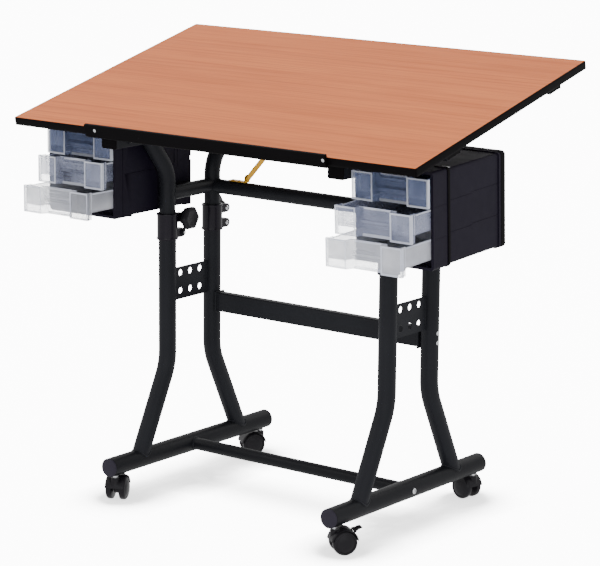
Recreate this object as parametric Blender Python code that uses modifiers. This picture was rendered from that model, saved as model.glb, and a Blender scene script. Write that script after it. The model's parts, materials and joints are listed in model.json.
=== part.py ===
"""Tilting drafting table on casters, with two hanging drawer housings.

Metres, +Z up, +X to the user's right, the user stands at -Y. The leg assembly is
centred on Y = 0 while it is built; every object is moved by ORIGIN_SHIFT_Y at the
end, so that the origin is under the middle of the whole table.
"""
import math

import bmesh
import bpy
from mathutils import Matrix, Vector

# ---- driving dimensions -------------------------------------------------------
GAP = 0.0003
PAST = 0.01
LAP = 0.001
ORIGIN_SHIFT_Y = 0.01304
SIDES = {"left": -1, "right": 1}
ENDS = {"front": -1, "rear": 1}

LEG_X = 0.287
LEG_Y = 0.0745

FLOOR_TUBE_R = 0.0200
FLOOR_TUBE_BORE_R = 0.0182
FLOOR_TUBE_Z = 0.0763
FLOOR_TUBE_HALF = 0.2615
CAP_LENGTH = 0.006
CAP_PLUG_LENGTH = 0.016

LOWER_R = 0.0188
LOWER_BORE_R = 0.0174
LOWER_TOP_Z = 0.5880
LOWER_BORE_Z = 0.300
FOOT_BORE_R = 0.0168
FOOT_BORE_LENGTH = 0.165
LOWER_CORNER_Z = 0.268
LOWER_FOOT_Y = 0.168
LOWER_BEND_R = 0.12

UPPER_R = 0.0170
UPPER_BORE_R = 0.0155
UPPER_END_Z = 0.335
UPPER_BEND_Z = 0.655
UPPER_BEND_R = 0.075
UPPER_SPLAY = math.radians(38)
UPPER_RUN = 0.090

WEB_Z = (0.400, 0.470)
WEB_THICK = 0.003
WEB_HOLE_R = 0.007
WEB_HOLES = [(y, z) for y in (-0.032, 0.0, 0.032) for z in (0.418, 0.457)]

COLLAR_Z = (0.536, 0.592)
COLLAR_R = 0.0228
COLLAR_BORE_R = LOWER_R + GAP
COLLAR_SLIT = 0.002
EAR_HALF_X = 0.0065
EAR_REACH = 0.0525
EAR_R = 0.0095
EAR_ROOT = 0.002
EAR_Z = (0.578, 0.5455)

KNOB_Y = 0.0425
KNOB_R = 0.0258
KNOB_LOBES = 6
KNOB_LOBE_DEPTH = 0.0022
KNOB_HEAD = 0.016
KNOB_NECK = 0.0115
KNOB_NECK_R = 0.011
SHANK_R = 0.0035
SHANK_TIP = 0.004
SHANK_HOLE_R = 0.0040

MID_BAR_Z = (0.359, 0.401)
MID_BAR_DEPTH = 0.020
MID_PLATE = (0.004, 0.030, 0.046)
LOW_BAR_R = 0.0132
LINK_Z = 0.6335
LINK_R = 0.0157
TUBE_WALL = 0.0015
CROSS_Z = 0.632
CROSS_R = 0.0156

RAIL_X = (0.269, 0.308)
RAIL_Y = (-0.257, 0.157)
RAIL_Z = (0.750, 0.7817)
RAIL_WALL = 0.002

CASTER_Y = 0.245
CASTER_TOP_Z = FLOOR_TUBE_Z - FLOOR_TUBE_R - GAP
WHEEL_R = 0.025
WHEEL_WIDTH = 0.0158
WHEEL_INNER = 0.0081
AXLE_R = 0.004
HOOD_R = 0.0285
HOOD_BORE_R = 0.0260
HOOD_HALF_WIDTH = 0.0225
HOOD_SKIRT_Z = 0.004
WEB_HALF_WIDTH = 0.0050
WEB_HUB_R = 0.012
CASTER_TRAIL = 0.018
STEM_R = 0.0075
STEM_LOW = 0.009
AXLE_ANGLE = {
    "front_left": math.radians(25),
    "front_right": math.radians(-37),
    "rear_left": math.radians(-35),
    "rear_right": math.radians(80),
}
TRAIL_SIGN = {"front_left": 1, "front_right": 1, "rear_left": -1, "rear_right": 1}
BRAKE_OUTLINE = [(0.0200, 0.0228), (0.0243, 0.0186), (0.0300, 0.0232), (0.0375, 0.0262),
                 (0.0370, 0.0284), (0.0290, 0.0266), (0.0230, 0.0250)]
BRAKE_PIVOT = (0.0222, 0.0215)
BRAKE_HALF_WIDTH = 0.008

TILT = math.radians(13.9)
TOP_WIDTH = 1.016
TOP_DEPTH = 0.610
TOP_THICK = 0.0175
TOP_FRONT = (-0.306, 0.800)
TILT_PIVOT = (-0.213, 0.766)
LEDGE_HALF = 0.3045
LEDGE_THICK = 0.008
LEDGE_H = (-0.0195, 0.008)
BATTENS = {"front": (0.117, 0.164), "rear": (0.488, 0.527)}
BATTEN_THICK = 0.0135
BATTEN_INSET = 0.012
BATTEN_WALL = 0.002
HINGE_CHEEK = 0.003
HINGE_GAP = 0.0010
HINGE_HALF_Y = 0.013
HINGE_DROP = 0.008
HINGE_PIN_R = 0.004
HINGE_HOLE_R = 0.0043

HOUSING_X = (0.3083, 0.4880)
HOUSING_Y = (-0.218, 0.0285)
HOUSING_Z = (0.598, 0.785)
HOUSING_WALL = 0.0035
HOUSING_TILT = {"left": 0.0, "right": math.radians(2.9)}
HOUSING_CENTRE = (-0.098, 0.690)
BEZEL_DEPTH = 0.054
REAR_BAND_DEPTH = 0.022
BAND_OUT = 0.0022
BAND_STEP = 0.002

DRAWER_PITCH = 0.0575
DRAWER_BOTTOM_Z = 0.6035
FRONT_HEIGHT = 0.0563
FRONT_PROUD = 0.007
FRONT_INSET_X = 0.0012
BODY_RAISE = 0.0145
BODY_DROP = 0.002
BODY_CLEAR_X = 0.0015
DRAWER_WALL = 0.0022
BODY_REAR_Y = 0.008
RECESS_HALF = 0.040
RECESS_TAPER = 0.008
RECESS_DEPTH = 0.016
SHELF_THICK = 0.003
SHELF_SETBACK = 0.024
PULL_Z = (0.026, 0.032)
PULL_REACH = 0.006
DRAWER_OPEN = {
    "left": {"top": 0.002, "middle": 0.031, "bottom": 0.076},
    "right": {"top": 0.006, "middle": 0.062, "bottom": 0.093},
}
DRAWER_LEVEL = {"bottom": 0, "middle": 1, "top": 2}

STAY_X = -0.190
STAY_THICK = 0.0025
STAY_HALF_WIDTH = 0.0065
STAY_PIN_R = 0.003
STAY_HOLE_R = 0.0034
STAY_END_HOLE_R = 0.0048
STAY_FOOT = (LEG_Y, 0.6575)
STAY_ELBOW = (0.152, 0.710)
STAY_TOP_S = 0.220
STAY_TOP_DROP = 0.0340
STAY_PAD_X = (-0.236, -0.1925)
STAY_PAD_HALF_Y = 0.008
STAY_PAD_THICK = 0.002
STAY_EAR_RISE = 0.007
STAY_TOP_PAD = (0.010, 0.020)

# ---- colours: name -> (colour, roughness, metallic) ---------------------------
BLACK_STEEL = ((0.022, 0.023, 0.025, 1), 0.38, 0.6)
BLACK_PLASTIC = ((0.018, 0.017, 0.021, 1), 0.5, 0.0)
CASTER_PLASTIC = ((0.02, 0.018, 0.021, 1), 0.35, 0.0)
CLEAR_PLASTIC = ((0.82, 0.87, 0.93, 1), 0.12, 0.0)
LAMINATE = ((0.60, 0.29, 0.18, 1), 0.42, 0.0)
YELLOW_ZINC = ((0.75, 0.55, 0.18, 1), 0.3, 0.9)


# ---- mesh helpers -------------------------------------------------------------
def collection(name):
    group = bpy.data.collections.new(name)
    bpy.context.scene.collection.children.link(group)
    return group


def clear_scene():
    for obj in list(bpy.data.objects):
        bpy.data.objects.remove(obj, do_unlink=True)


def material(name, look):
    colour, roughness, metallic = look
    mat = bpy.data.materials.new(name)
    mat.use_nodes = True
    shader = mat.node_tree.nodes["Principled BSDF"]
    shader.inputs["Base Color"].default_value = colour
    shader.inputs["Roughness"].default_value = roughness
    shader.inputs["Metallic"].default_value = metallic
    return mat


def new_object(name, bm, group):
    mesh = bpy.data.meshes.new(name)
    bmesh.ops.recalc_face_normals(bm, faces=bm.faces)
    bm.to_mesh(mesh)
    bm.free()
    obj = bpy.data.objects.new(name, mesh)
    group.objects.link(obj)
    return obj


def box_bm(low, high):
    bm = bmesh.new()
    bmesh.ops.create_cube(bm, size=1.0)
    size = [b - a for a, b in zip(low, high)]
    middle = [(a + b) / 2 for a, b in zip(low, high)]
    bmesh.ops.scale(bm, vec=size, verts=bm.verts)
    bmesh.ops.translate(bm, vec=middle, verts=bm.verts)
    return bm


def cylinder_bm(start, end, radius, segments=20):
    start, end = Vector(start), Vector(end)
    bm = bmesh.new()
    bmesh.ops.create_cone(bm, cap_ends=True, segments=segments, radius1=radius,
                          radius2=radius, depth=(end - start).length)
    turn = Vector((0, 0, 1)).rotation_difference(end - start).to_matrix()
    bmesh.ops.rotate(bm, matrix=turn, verts=bm.verts)
    bmesh.ops.translate(bm, vec=(start + end) / 2, verts=bm.verts)
    return bm


def prism_bm(outline, x_low, x_high):
    """Extrude an outline drawn in (Y, Z) along X."""
    bm = bmesh.new()
    verts = [bm.verts.new((x_low, y, z)) for y, z in outline]
    face = bm.faces.new(verts)
    grown = bmesh.ops.extrude_face_region(bm, geom=[face])
    moved = [v for v in grown["geom"] if isinstance(v, bmesh.types.BMVert)]
    bmesh.ops.translate(bm, vec=(x_high - x_low, 0, 0), verts=moved)
    return bm


def plan_prism_bm(outline, z_low, z_high):
    """Extrude an outline drawn in (X, Y) along Z."""
    bm = bmesh.new()
    verts = [bm.verts.new((x, y, z_low)) for x, y in outline]
    face = bm.faces.new(verts)
    grown = bmesh.ops.extrude_face_region(bm, geom=[face])
    moved = [v for v in grown["geom"] if isinstance(v, bmesh.types.BMVert)]
    bmesh.ops.translate(bm, vec=(0, 0, z_high - z_low), verts=moved)
    return bm


def cut(obj, cutters, operation="DIFFERENCE"):
    """Apply each bmesh in turn as an exact Boolean on the object."""
    for index, bm in enumerate(cutters):
        tool = new_object(f"{obj.name}_cut_{operation.lower()}_{index}", bm, CUTTERS)
        tool.hide_render = True
        tool.display_type = "WIRE"
        step = obj.modifiers.new(f"{operation.title()} {index}", "BOOLEAN")
        step.operation = operation
        step.solver = "EXACT"
        step.object = tool


def join(obj, pieces):
    cut(obj, pieces, "UNION")


def bevel(obj, width, segments=1, angle=40):
    step = obj.modifiers.new("Edge rounding", "BEVEL")
    step.width = width
    step.segments = segments
    step.limit_method = "ANGLE"
    step.angle_limit = math.radians(angle)


def sweep_bm(path, radius, resolution=4):
    """A round bar along a path, turned from a curve into a closed mesh."""
    curve = bpy.data.curves.new("sweep", "CURVE")
    curve.dimensions = "3D"
    curve.bevel_depth = radius
    curve.bevel_resolution = resolution
    curve.use_fill_caps = True
    spline = curve.splines.new("POLY")
    spline.points.add(len(path) - 1)
    for point, place in zip(spline.points, path):
        point.co = (*place, 1)
    swept = bpy.data.objects.new("sweep", curve)
    PARTS.objects.link(swept)
    evaluated = swept.evaluated_get(bpy.context.evaluated_depsgraph_get())
    mesh = bpy.data.meshes.new_from_object(evaluated)
    bpy.data.objects.remove(swept, do_unlink=True)
    bm = bmesh.new()
    bm.from_mesh(mesh)
    bpy.data.meshes.remove(mesh)
    bmesh.ops.remove_doubles(bm, verts=bm.verts, dist=0.00001)
    return bm


def finish(obj, look, pivot=(0, 0, 0), turn=0.0, smooth=True):
    """Give the object its material, and its origin on the pivot, turned about X."""
    pivot = Vector(pivot)
    for owned in [obj] + [m.object for m in obj.modifiers if m.type == "BOOLEAN"]:
        owned.data.transform(Matrix.Translation(-pivot))
        owned.location = pivot + Vector((0, ORIGIN_SHIFT_Y, 0))
        owned.rotation_euler.x = turn
    obj.data.materials.append(material(obj.name + "_look", look))
    if smooth:
        obj.data.shade_smooth()
        obj.data.set_sharp_from_angle(angle=math.radians(35))
    return obj


# ---- base ---------------------------------------------------------------------
def floor_tubes():
    for side, sx in SIDES.items():
        x = sx * LEG_X
        ends = [(x, -FLOOR_TUBE_HALF, FLOOR_TUBE_Z), (x, FLOOR_TUBE_HALF, FLOOR_TUBE_Z)]
        tube = new_object(f"floor_tube_{side}", cylinder_bm(*ends, FLOOR_TUBE_R, 24), PARTS)
        bore = [(x, sy * (FLOOR_TUBE_HALF + PAST), FLOOR_TUBE_Z) for sy in (-1, 1)]
        cut(tube, [cylinder_bm(*bore, FLOOR_TUBE_BORE_R, 24)])
        finish(tube, BLACK_STEEL, (x, 0, FLOOR_TUBE_Z))
        for end, sy in ENDS.items():
            end_cap(f"end_cap_{end}_{side}", x, sy)


def end_cap(name, x, sy):
    face = sy * (FLOOR_TUBE_HALF + GAP)
    outer = face + sy * CAP_LENGTH
    head = cylinder_bm((x, face, FLOOR_TUBE_Z), (x, outer, FLOOR_TUBE_Z), FLOOR_TUBE_R, 24)
    cap = new_object(name, head, PARTS)
    bevel(cap, 0.0015, 1, 60)
    inner = face - sy * CAP_PLUG_LENGTH
    middle = face + sy * CAP_LENGTH / 2
    plug = cylinder_bm((x, inner, FLOOR_TUBE_Z), (x, middle, FLOOR_TUBE_Z), FLOOR_TUBE_BORE_R - GAP)
    join(cap, [plug])
    finish(cap, BLACK_PLASTIC, (x, face, FLOOR_TUBE_Z))


def arc_points(centre, radius, start, stop, count):
    """Points of an arc in (Y, Z), angles from +Y."""
    steps = [start + (stop - start) * i / count for i in range(count + 1)]
    return [(centre[0] + radius * math.cos(a), centre[1] + radius * math.sin(a)) for a in steps]


def lower_uprights():
    splay = math.atan2(LOWER_FOOT_Y - LEG_Y, LOWER_CORNER_Z - FLOOR_TUBE_Z)
    tangent = LOWER_BEND_R * math.tan(splay / 2)
    centre = (LEG_Y + LOWER_BEND_R, LOWER_CORNER_Z + tangent)
    bend = arc_points(centre, LOWER_BEND_R, math.pi, math.pi + splay, 6)
    profile = [(LEG_Y, LOWER_TOP_Z)] + bend + [(LOWER_FOOT_Y, FLOOR_TUBE_Z)]
    for side, sx in SIDES.items():
        for end, sy in ENDS.items():
            x = sx * LEG_X
            path = [(x, sy * y, z) for y, z in profile]
            tube = new_object(f"lower_upright_{end}_{side}", sweep_bm(path, LOWER_R), PARTS)
            y = sy * LEG_Y
            bore = cylinder_bm((x, y, LOWER_BORE_Z), (x, y, LOWER_TOP_Z + PAST), LOWER_BORE_R)
            foot = Vector(path[-1])
            rise = (Vector(path[-2]) - foot).normalized() * FOOT_BORE_LENGTH
            foot_bore = cylinder_bm(foot, foot + rise, FOOT_BORE_R)
            saddle = cylinder_bm((x, -FLOOR_TUBE_HALF, FLOOR_TUBE_Z), (x, FLOOR_TUBE_HALF, FLOOR_TUBE_Z),
                                 FLOOR_TUBE_R + GAP, 24)
            cut(tube, [bore, foot_bore, saddle])
            finish(tube, BLACK_STEEL, (x, sy * LEG_Y, LOWER_CORNER_Z))


def web_plates():
    half_y = LEG_Y - LOWER_R - GAP
    for side, sx in SIDES.items():
        x = sx * LEG_X
        low = (x - WEB_THICK / 2, -half_y, WEB_Z[0])
        high = (x + WEB_THICK / 2, half_y, WEB_Z[1])
        plate = new_object(f"web_plate_{side}", box_bm(low, high), PARTS)
        reach = WEB_THICK * 2
        holes = [cylinder_bm((x - reach, y, z), (x + reach, y, z), WEB_HOLE_R, 14) for y, z in WEB_HOLES]
        cut(plate, holes)
        finish(plate, BLACK_STEEL, (x, 0, sum(WEB_Z) / 2))


def ear_bm(x, y, z):
    """A clamp ear with a rounded end, pointing to +Y from the tube axis at (x, y)."""
    reach = EAR_REACH - EAR_R
    nose = arc_points((y + reach, z), EAR_R, -math.pi / 2, math.pi / 2, 6)
    root = [(y + COLLAR_R - EAR_ROOT, z + EAR_R), (y + COLLAR_R - EAR_ROOT, z - EAR_R)]
    return prism_bm(nose + root, x - EAR_HALF_X, x + EAR_HALF_X)


def collars_and_knobs():
    for side, sx in SIDES.items():
        for end, sy in ENDS.items():
            x, y = sx * LEG_X, sy * LEG_Y
            sleeve = cylinder_bm((x, y, COLLAR_Z[0]), (x, y, COLLAR_Z[1]), COLLAR_R)
            collar = new_object(f"collar_{end}_{side}", sleeve, PARTS)
            join(collar, [ear_bm(x, y, z) for z in EAR_Z])
            reach = EAR_HALF_X * 2
            slit = box_bm((x - COLLAR_SLIT / 2, y, COLLAR_Z[0] - PAST),
                          (x + COLLAR_SLIT / 2, y + EAR_REACH + PAST, COLLAR_Z[1] + PAST))
            bore = cylinder_bm((x, y, COLLAR_Z[0] - PAST), (x, y, COLLAR_Z[1] + PAST), COLLAR_BORE_R)
            holes = [cylinder_bm((x - reach, y + KNOB_Y, z), (x + reach, y + KNOB_Y, z), SHANK_HOLE_R, 10)
                     for z in EAR_Z]
            cut(collar, [bore, slit] + holes)
            finish(collar, BLACK_STEEL, (x, y, COLLAR_Z[0]))
            inward = -sx if end == "front" else sx
            clamp_knob(f"clamp_knob_{end}_{side}", x, y + KNOB_Y, EAR_Z[0], inward)


def lobed_outline(centre_y, centre_z):
    points = []
    steps = KNOB_LOBES * 4
    for i in range(steps):
        angle = 2 * math.pi * i / steps
        radius = KNOB_R - KNOB_LOBE_DEPTH * (1 - math.cos(KNOB_LOBES * angle)) / 2
        points.append((centre_y + radius * math.cos(angle), centre_z + radius * math.sin(angle)))
    return points


def clamp_knob(name, x, y, z, inward):
    """A lobed clamp knob whose screw runs along X through both halves of the ear."""
    face = x + inward * (EAR_HALF_X + GAP)
    neck_end = face + inward * KNOB_NECK
    head_end = neck_end + inward * KNOB_HEAD
    low, high = sorted((neck_end, head_end))
    knob = new_object(name, prism_bm(lobed_outline(y, z), low, high), PARTS)
    bevel(knob, 0.0025, 1, 60)
    neck = cylinder_bm((face, y, z), ((neck_end + head_end) / 2, y, z), KNOB_NECK_R, 14)
    tip = x - inward * (EAR_HALF_X + SHANK_TIP)
    shank = cylinder_bm((tip, y, z), ((face + neck_end) / 2, y, z), SHANK_R, 10)
    join(knob, [neck, shank])
    finish(knob, BLACK_PLASTIC, (x, y, z))


def base_bars():
    inner = LEG_X - LOWER_R - GAP
    plate_thick, plate_depth, plate_height = MID_PLATE
    plate_x = inner - plate_thick
    middle_z = sum(MID_BAR_Z) / 2
    half_depth = MID_BAR_DEPTH / 2
    low = (-inner + plate_thick / 2, LEG_Y - half_depth, MID_BAR_Z[0])
    high = (inner - plate_thick / 2, LEG_Y + half_depth, MID_BAR_Z[1])
    bar = new_object("mid_bar", box_bm(low, high), PARTS)
    plates = []
    for sx in (-1, 1):
        xs = sorted((sx * plate_x, sx * inner))
        plates.append(box_bm((xs[0], LEG_Y - plate_depth / 2, middle_z - plate_height / 2),
                             (xs[1], LEG_Y + plate_depth / 2, middle_z + plate_height / 2)))
    join(bar, plates)
    hollow = box_bm((-LEG_X, low[1] + TUBE_WALL, low[2] + TUBE_WALL),
                    (LEG_X, high[1] - TUBE_WALL, high[2] - TUBE_WALL))
    cut(bar, [hollow])
    finish(bar, BLACK_STEEL, (0, LEG_Y, middle_z))

    ends = [(sx * LEG_X, 0, FLOOR_TUBE_Z) for sx in (-1, 1)]
    rod = new_object("low_bar", cylinder_bm(*ends, LOW_BAR_R), PARTS)
    reach = FLOOR_TUBE_R * 2
    saddles = [cylinder_bm((x, y - reach, z), (x, y + reach, z), FLOOR_TUBE_R + GAP, 24) for x, y, z in ends]
    cut(rod, [cylinder_bm(*ends, LOW_BAR_R - TUBE_WALL)] + saddles)
    finish(rod, BLACK_STEEL, (0, 0, FLOOR_TUBE_Z))


# ---- casters ------------------------------------------------------------------
def placed(bm, place, angle):
    """Turn a piece drawn with its axle along X about Z, and move it to its place."""
    bmesh.ops.rotate(bm, matrix=Matrix.Rotation(angle, 3, "Z"), verts=bm.verts)
    bmesh.ops.translate(bm, vec=place, verts=bm.verts)
    return bm


def caster(corner, x, y):
    """A hooded twin-wheel caster. Drawn about the wheel centre, axle on X, trailing to +Y."""
    angle = AXLE_ANGLE[corner]
    if TRAIL_SIGN[corner] < 0:
        angle += math.pi
    back = Vector((-math.sin(angle), math.cos(angle), 0))
    centre = Vector((x, y, WHEEL_R)) + back * CASTER_TRAIL
    stem_pivot = (x, y, CASTER_TOP_Z)

    shell = cylinder_bm((-HOOD_HALF_WIDTH, 0, 0), (HOOD_HALF_WIDTH, 0, 0), HOOD_R, 24)
    hood = new_object(f"caster_hood_{corner}", placed(shell, centre, angle), PARTS)
    far = HOOD_HALF_WIDTH * 2
    bores = [placed(cylinder_bm((sx * WEB_HALF_WIDTH, 0, 0), (sx * far, 0, 0), HOOD_BORE_R, 24), centre, angle)
             for sx in (-1, 1)]
    below = placed(box_bm((-far, -HOOD_R * 2, -HOOD_R * 2), (far, HOOD_R * 2, HOOD_SKIRT_Z)), centre, angle)
    web = placed(cylinder_bm((-WEB_HALF_WIDTH, 0, 0), (WEB_HALF_WIDTH, 0, 0), WEB_HUB_R, 16), centre, angle)
    stem_top = CASTER_TOP_Z - WHEEL_R
    stem = cylinder_bm((0, -CASTER_TRAIL, STEM_LOW), (0, -CASTER_TRAIL, stem_top), STEM_R, 14)
    stem = placed(stem, centre, angle)
    axle = placed(cylinder_bm((-far, 0, 0), (far, 0, 0), AXLE_R + GAP, 12), centre, angle)
    cut(hood, bores + [below])
    join(hood, [web, stem])
    cut(hood, [axle])
    finish(hood, CASTER_PLASTIC, stem_pivot)

    outer = WHEEL_INNER + WHEEL_WIDTH
    first = placed(cylinder_bm((-WHEEL_INNER, 0, 0), (-outer, 0, 0), WHEEL_R, 24), centre, angle)
    wheels = new_object(f"caster_wheels_{corner}", first, PARTS)
    second = placed(cylinder_bm((WHEEL_INNER, 0, 0), (outer, 0, 0), WHEEL_R, 24), centre, angle)
    pin = placed(cylinder_bm((-WHEEL_INNER * 1.5, 0, 0), (WHEEL_INNER * 1.5, 0, 0), AXLE_R, 12), centre, angle)
    join(wheels, [second, pin])
    bevel(wheels, 0.0025, 1, 60)
    finish(wheels, CASTER_PLASTIC, centre)

    if corner.startswith("front"):
        tab = prism_bm(BRAKE_OUTLINE, -BRAKE_HALF_WIDTH, BRAKE_HALF_WIDTH)
        lever = new_object(f"brake_lever_{corner}", placed(tab, centre, angle), PARTS)
        pivot = centre + back * BRAKE_PIVOT[0] + Vector((0, 0, BRAKE_PIVOT[1]))
        finish(lever, CASTER_PLASTIC, pivot)


def casters():
    for side, sx in SIDES.items():
        for end, sy in ENDS.items():
            caster(f"{end}_{side}", sx * LEG_X, sy * CASTER_Y)


# ---- upper frame --------------------------------------------------------------
def upper_path(sx, sy):
    centre = (LEG_Y + UPPER_BEND_R, UPPER_BEND_Z)
    bend = arc_points(centre, UPPER_BEND_R, math.pi, math.pi - UPPER_SPLAY, 7)
    last_y, last_z = bend[-1]
    run_end = (last_y + UPPER_RUN * math.sin(UPPER_SPLAY), last_z + UPPER_RUN * math.cos(UPPER_SPLAY))
    profile = [(LEG_Y, UPPER_END_Z)] + bend + [run_end]
    return [(sx * LEG_X, sy * y, z) for y, z in profile]


def upper_uprights():
    seat = RAIL_Z[0] - GAP
    for side, sx in SIDES.items():
        for end, sy in ENDS.items():
            x = sx * LEG_X
            tube = new_object(f"upper_upright_{end}_{side}", sweep_bm(upper_path(sx, sy), UPPER_R), PARTS)
            above = box_bm((x - UPPER_RUN, -FLOOR_TUBE_HALF, seat),
                           (x + UPPER_RUN, FLOOR_TUBE_HALF, seat + UPPER_RUN))
            y = sy * LEG_Y
            bore = cylinder_bm((x, y, UPPER_END_Z - PAST), (x, y, UPPER_BEND_Z), UPPER_BORE_R)
            cut(tube, [above, bore])
            finish(tube, BLACK_STEEL, (x, sy * LEG_Y, UPPER_END_Z))


def upper_bars():
    for side, sx in SIDES.items():
        x = sx * LEG_X
        ends = [(x, sy * LEG_Y, LINK_Z) for sy in (-1, 1)]
        link = new_object(f"link_tube_{side}", cylinder_bm(*ends, LINK_R), PARTS)
        posts = [sweep_bm(upper_path(sx, sy), UPPER_R + GAP) for sy in (-1, 1)]
        bar = cylinder_bm((-LEG_X, LEG_Y, CROSS_Z), (LEG_X, LEG_Y, CROSS_Z), CROSS_R + GAP)
        cut(link, [cylinder_bm(*ends, LINK_R - TUBE_WALL)] + posts + [bar])
        finish(link, BLACK_STEEL, (x, 0, LINK_Z))
    ends = [(sx * LEG_X, LEG_Y, CROSS_Z) for sx in (-1, 1)]
    bar = new_object("crossbar", cylinder_bm(*ends, CROSS_R), PARTS)
    posts = [sweep_bm(upper_path(sx, 1), UPPER_R + GAP) for sx in (-1, 1)]
    cut(bar, [cylinder_bm(*ends, CROSS_R - TUBE_WALL)] + posts)
    finish(bar, BLACK_STEEL, (0, LEG_Y, CROSS_Z))


def side_rails():
    for side, sx in SIDES.items():
        xs = sorted(sx * x for x in RAIL_X)
        block = box_bm((xs[0], RAIL_Y[0], RAIL_Z[0]), (xs[1], RAIL_Y[1], RAIL_Z[1]))
        rail = new_object(f"side_rail_{side}", block, PARTS)
        wall = RAIL_WALL
        hollow = box_bm((xs[0] + wall, RAIL_Y[0] + wall, RAIL_Z[0] + wall),
                        (xs[1] - wall, RAIL_Y[1] + PAST, RAIL_Z[1] - wall))
        pivot_y, pivot_z = TILT_PIVOT
        hole = cylinder_bm((xs[0] - PAST, pivot_y, pivot_z), (xs[1] + PAST, pivot_y, pivot_z), HINGE_HOLE_R, 12)
        cut(rail, [hollow, hole])
        finish(rail, BLACK_STEEL, (sum(xs) / 2, pivot_y, pivot_z))


# ---- drawer housings ----------------------------------------------------------
def housing_outline_box(grow, y_low, y_high, sx):
    xs = sorted((sx * HOUSING_X[0], sx * (HOUSING_X[1] + grow)))
    return box_bm((xs[0], y_low, HOUSING_Z[0] - grow), (xs[1], y_high, HOUSING_Z[1] + grow))


def housings():
    for side, sx in SIDES.items():
        block = housing_outline_box(0.0, HOUSING_Y[0] + BAND_STEP, HOUSING_Y[1] - BAND_STEP, sx)
        shell = new_object(f"housing_{side}", block, PARTS)
        bands = [housing_outline_box(BAND_OUT, HOUSING_Y[0], HOUSING_Y[0] + BEZEL_DEPTH, sx),
                 housing_outline_box(BAND_OUT, HOUSING_Y[1] - REAR_BAND_DEPTH, HOUSING_Y[1], sx)]
        join(shell, bands)
        wall = HOUSING_WALL
        xs = sorted((sx * (HOUSING_X[0] + wall), sx * (HOUSING_X[1] - wall)))
        cuts = []
        for level in DRAWER_LEVEL.values():
            floor = DRAWER_BOTTOM_Z + level * DRAWER_PITCH + BODY_RAISE - GAP
            roof = floor + DRAWER_PITCH - SHELF_THICK
            if level == max(DRAWER_LEVEL.values()):
                roof = HOUSING_Z[1] - wall
            cuts.append(box_bm((xs[0], HOUSING_Y[0] - PAST, floor), (xs[1], HOUSING_Y[1] - wall, roof)))
        mouth_y = HOUSING_Y[0] + SHELF_SETBACK
        cuts.append(box_bm((xs[0], HOUSING_Y[0] - PAST, HOUSING_Z[0] + wall),
                           (xs[1], mouth_y, HOUSING_Z[1] - wall)))
        cut(shell, cuts)
        pivot = (sx * sum(HOUSING_X) / 2, *HOUSING_CENTRE)
        finish(shell, BLACK_PLASTIC, pivot, HOUSING_TILT[side], smooth=False)


def front_outline(sx):
    """Plan of the drawer front: two blocks beside a tapered recess. Y = 0 is the housing's face."""
    middle = sx * sum(HOUSING_X) / 2
    half = (HOUSING_X[1] - HOUSING_X[0]) / 2 - FRONT_INSET_X
    body_half = (HOUSING_X[1] - HOUSING_X[0]) / 2 - HOUSING_WALL - BODY_CLEAR_X
    proud, back = -FRONT_PROUD, RECESS_DEPTH - FRONT_PROUD
    right = [(RECESS_HALF - RECESS_TAPER, back), (RECESS_HALF, proud), (half, proud), (half, -GAP),
             (body_half, -GAP), (body_half, back + DRAWER_WALL)]
    left = [(-x, y) for x, y in reversed(right)]
    return [(middle + x, HOUSING_Y[0] + y) for x, y in right + left]


def block_hollow(sx, hand, low_z, high_z):
    """The open-topped pocket inside one of the two front blocks."""
    middle = sx * sum(HOUSING_X) / 2
    body_half = (HOUSING_X[1] - HOUSING_X[0]) / 2 - HOUSING_WALL - BODY_CLEAR_X
    wall = DRAWER_WALL
    inner = RECESS_HALF + wall * 1.5
    y_front = HOUSING_Y[0] - FRONT_PROUD + wall
    y_back = HOUSING_Y[0] + RECESS_DEPTH - FRONT_PROUD + wall * 2
    xs = sorted((middle + hand * inner, middle + hand * (body_half - wall)))
    return box_bm((xs[0], y_front, low_z), (xs[1], y_back, high_z))


def drawer(side, sx, name, level):
    base = DRAWER_BOTTOM_Z + level * DRAWER_PITCH
    top = base + FRONT_HEIGHT
    floor = base + BODY_RAISE
    middle = sx * sum(HOUSING_X) / 2
    body_half = (HOUSING_X[1] - HOUSING_X[0]) / 2 - HOUSING_WALL - BODY_CLEAR_X
    wall = DRAWER_WALL
    back_of_front = HOUSING_Y[0] + RECESS_DEPTH - FRONT_PROUD + wall
    rear = BODY_REAR_Y

    tray = new_object(f"drawer_{name}_{side}", plan_prism_bm(front_outline(sx), base, top), PARTS)
    lap = wall / 2
    box_low = (middle - body_half, back_of_front - lap, floor)
    box_high = (middle + body_half, rear, top - BODY_DROP)
    join(tray, [box_bm(box_low, box_high)])
    inside = box_bm((middle - body_half + wall, back_of_front, floor + wall),
                    (middle + body_half - wall, rear - wall, top + PAST))
    pockets = [block_hollow(sx, hand, floor + wall, top + PAST) for hand in (-1, 1)]
    pull_low, pull_high = base + PULL_Z[0], base + PULL_Z[1]
    recess_y = HOUSING_Y[0] + RECESS_DEPTH - FRONT_PROUD
    pull_half = RECESS_HALF - RECESS_TAPER / 2
    cut(tray, [inside] + pockets)
    join(tray, [box_bm((middle - pull_half, recess_y - PULL_REACH, pull_low),
                       (middle + pull_half, recess_y + wall / 2, pull_high))])

    tilt = HOUSING_TILT[side]
    pivot = Vector((middle, *HOUSING_CENTRE))
    finish(tray, CLEAR_PLASTIC, pivot, tilt)
    slide = DRAWER_OPEN[side][name]
    travel = Vector((0, -math.cos(tilt), -math.sin(tilt))) * slide
    for owned in [tray] + [m.object for m in tray.modifiers if m.type == "BOOLEAN"]:
        owned.location += travel


def drawers():
    for side, sx in SIDES.items():
        for name, level in DRAWER_LEVEL.items():
            drawer(side, sx, name, level)


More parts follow.
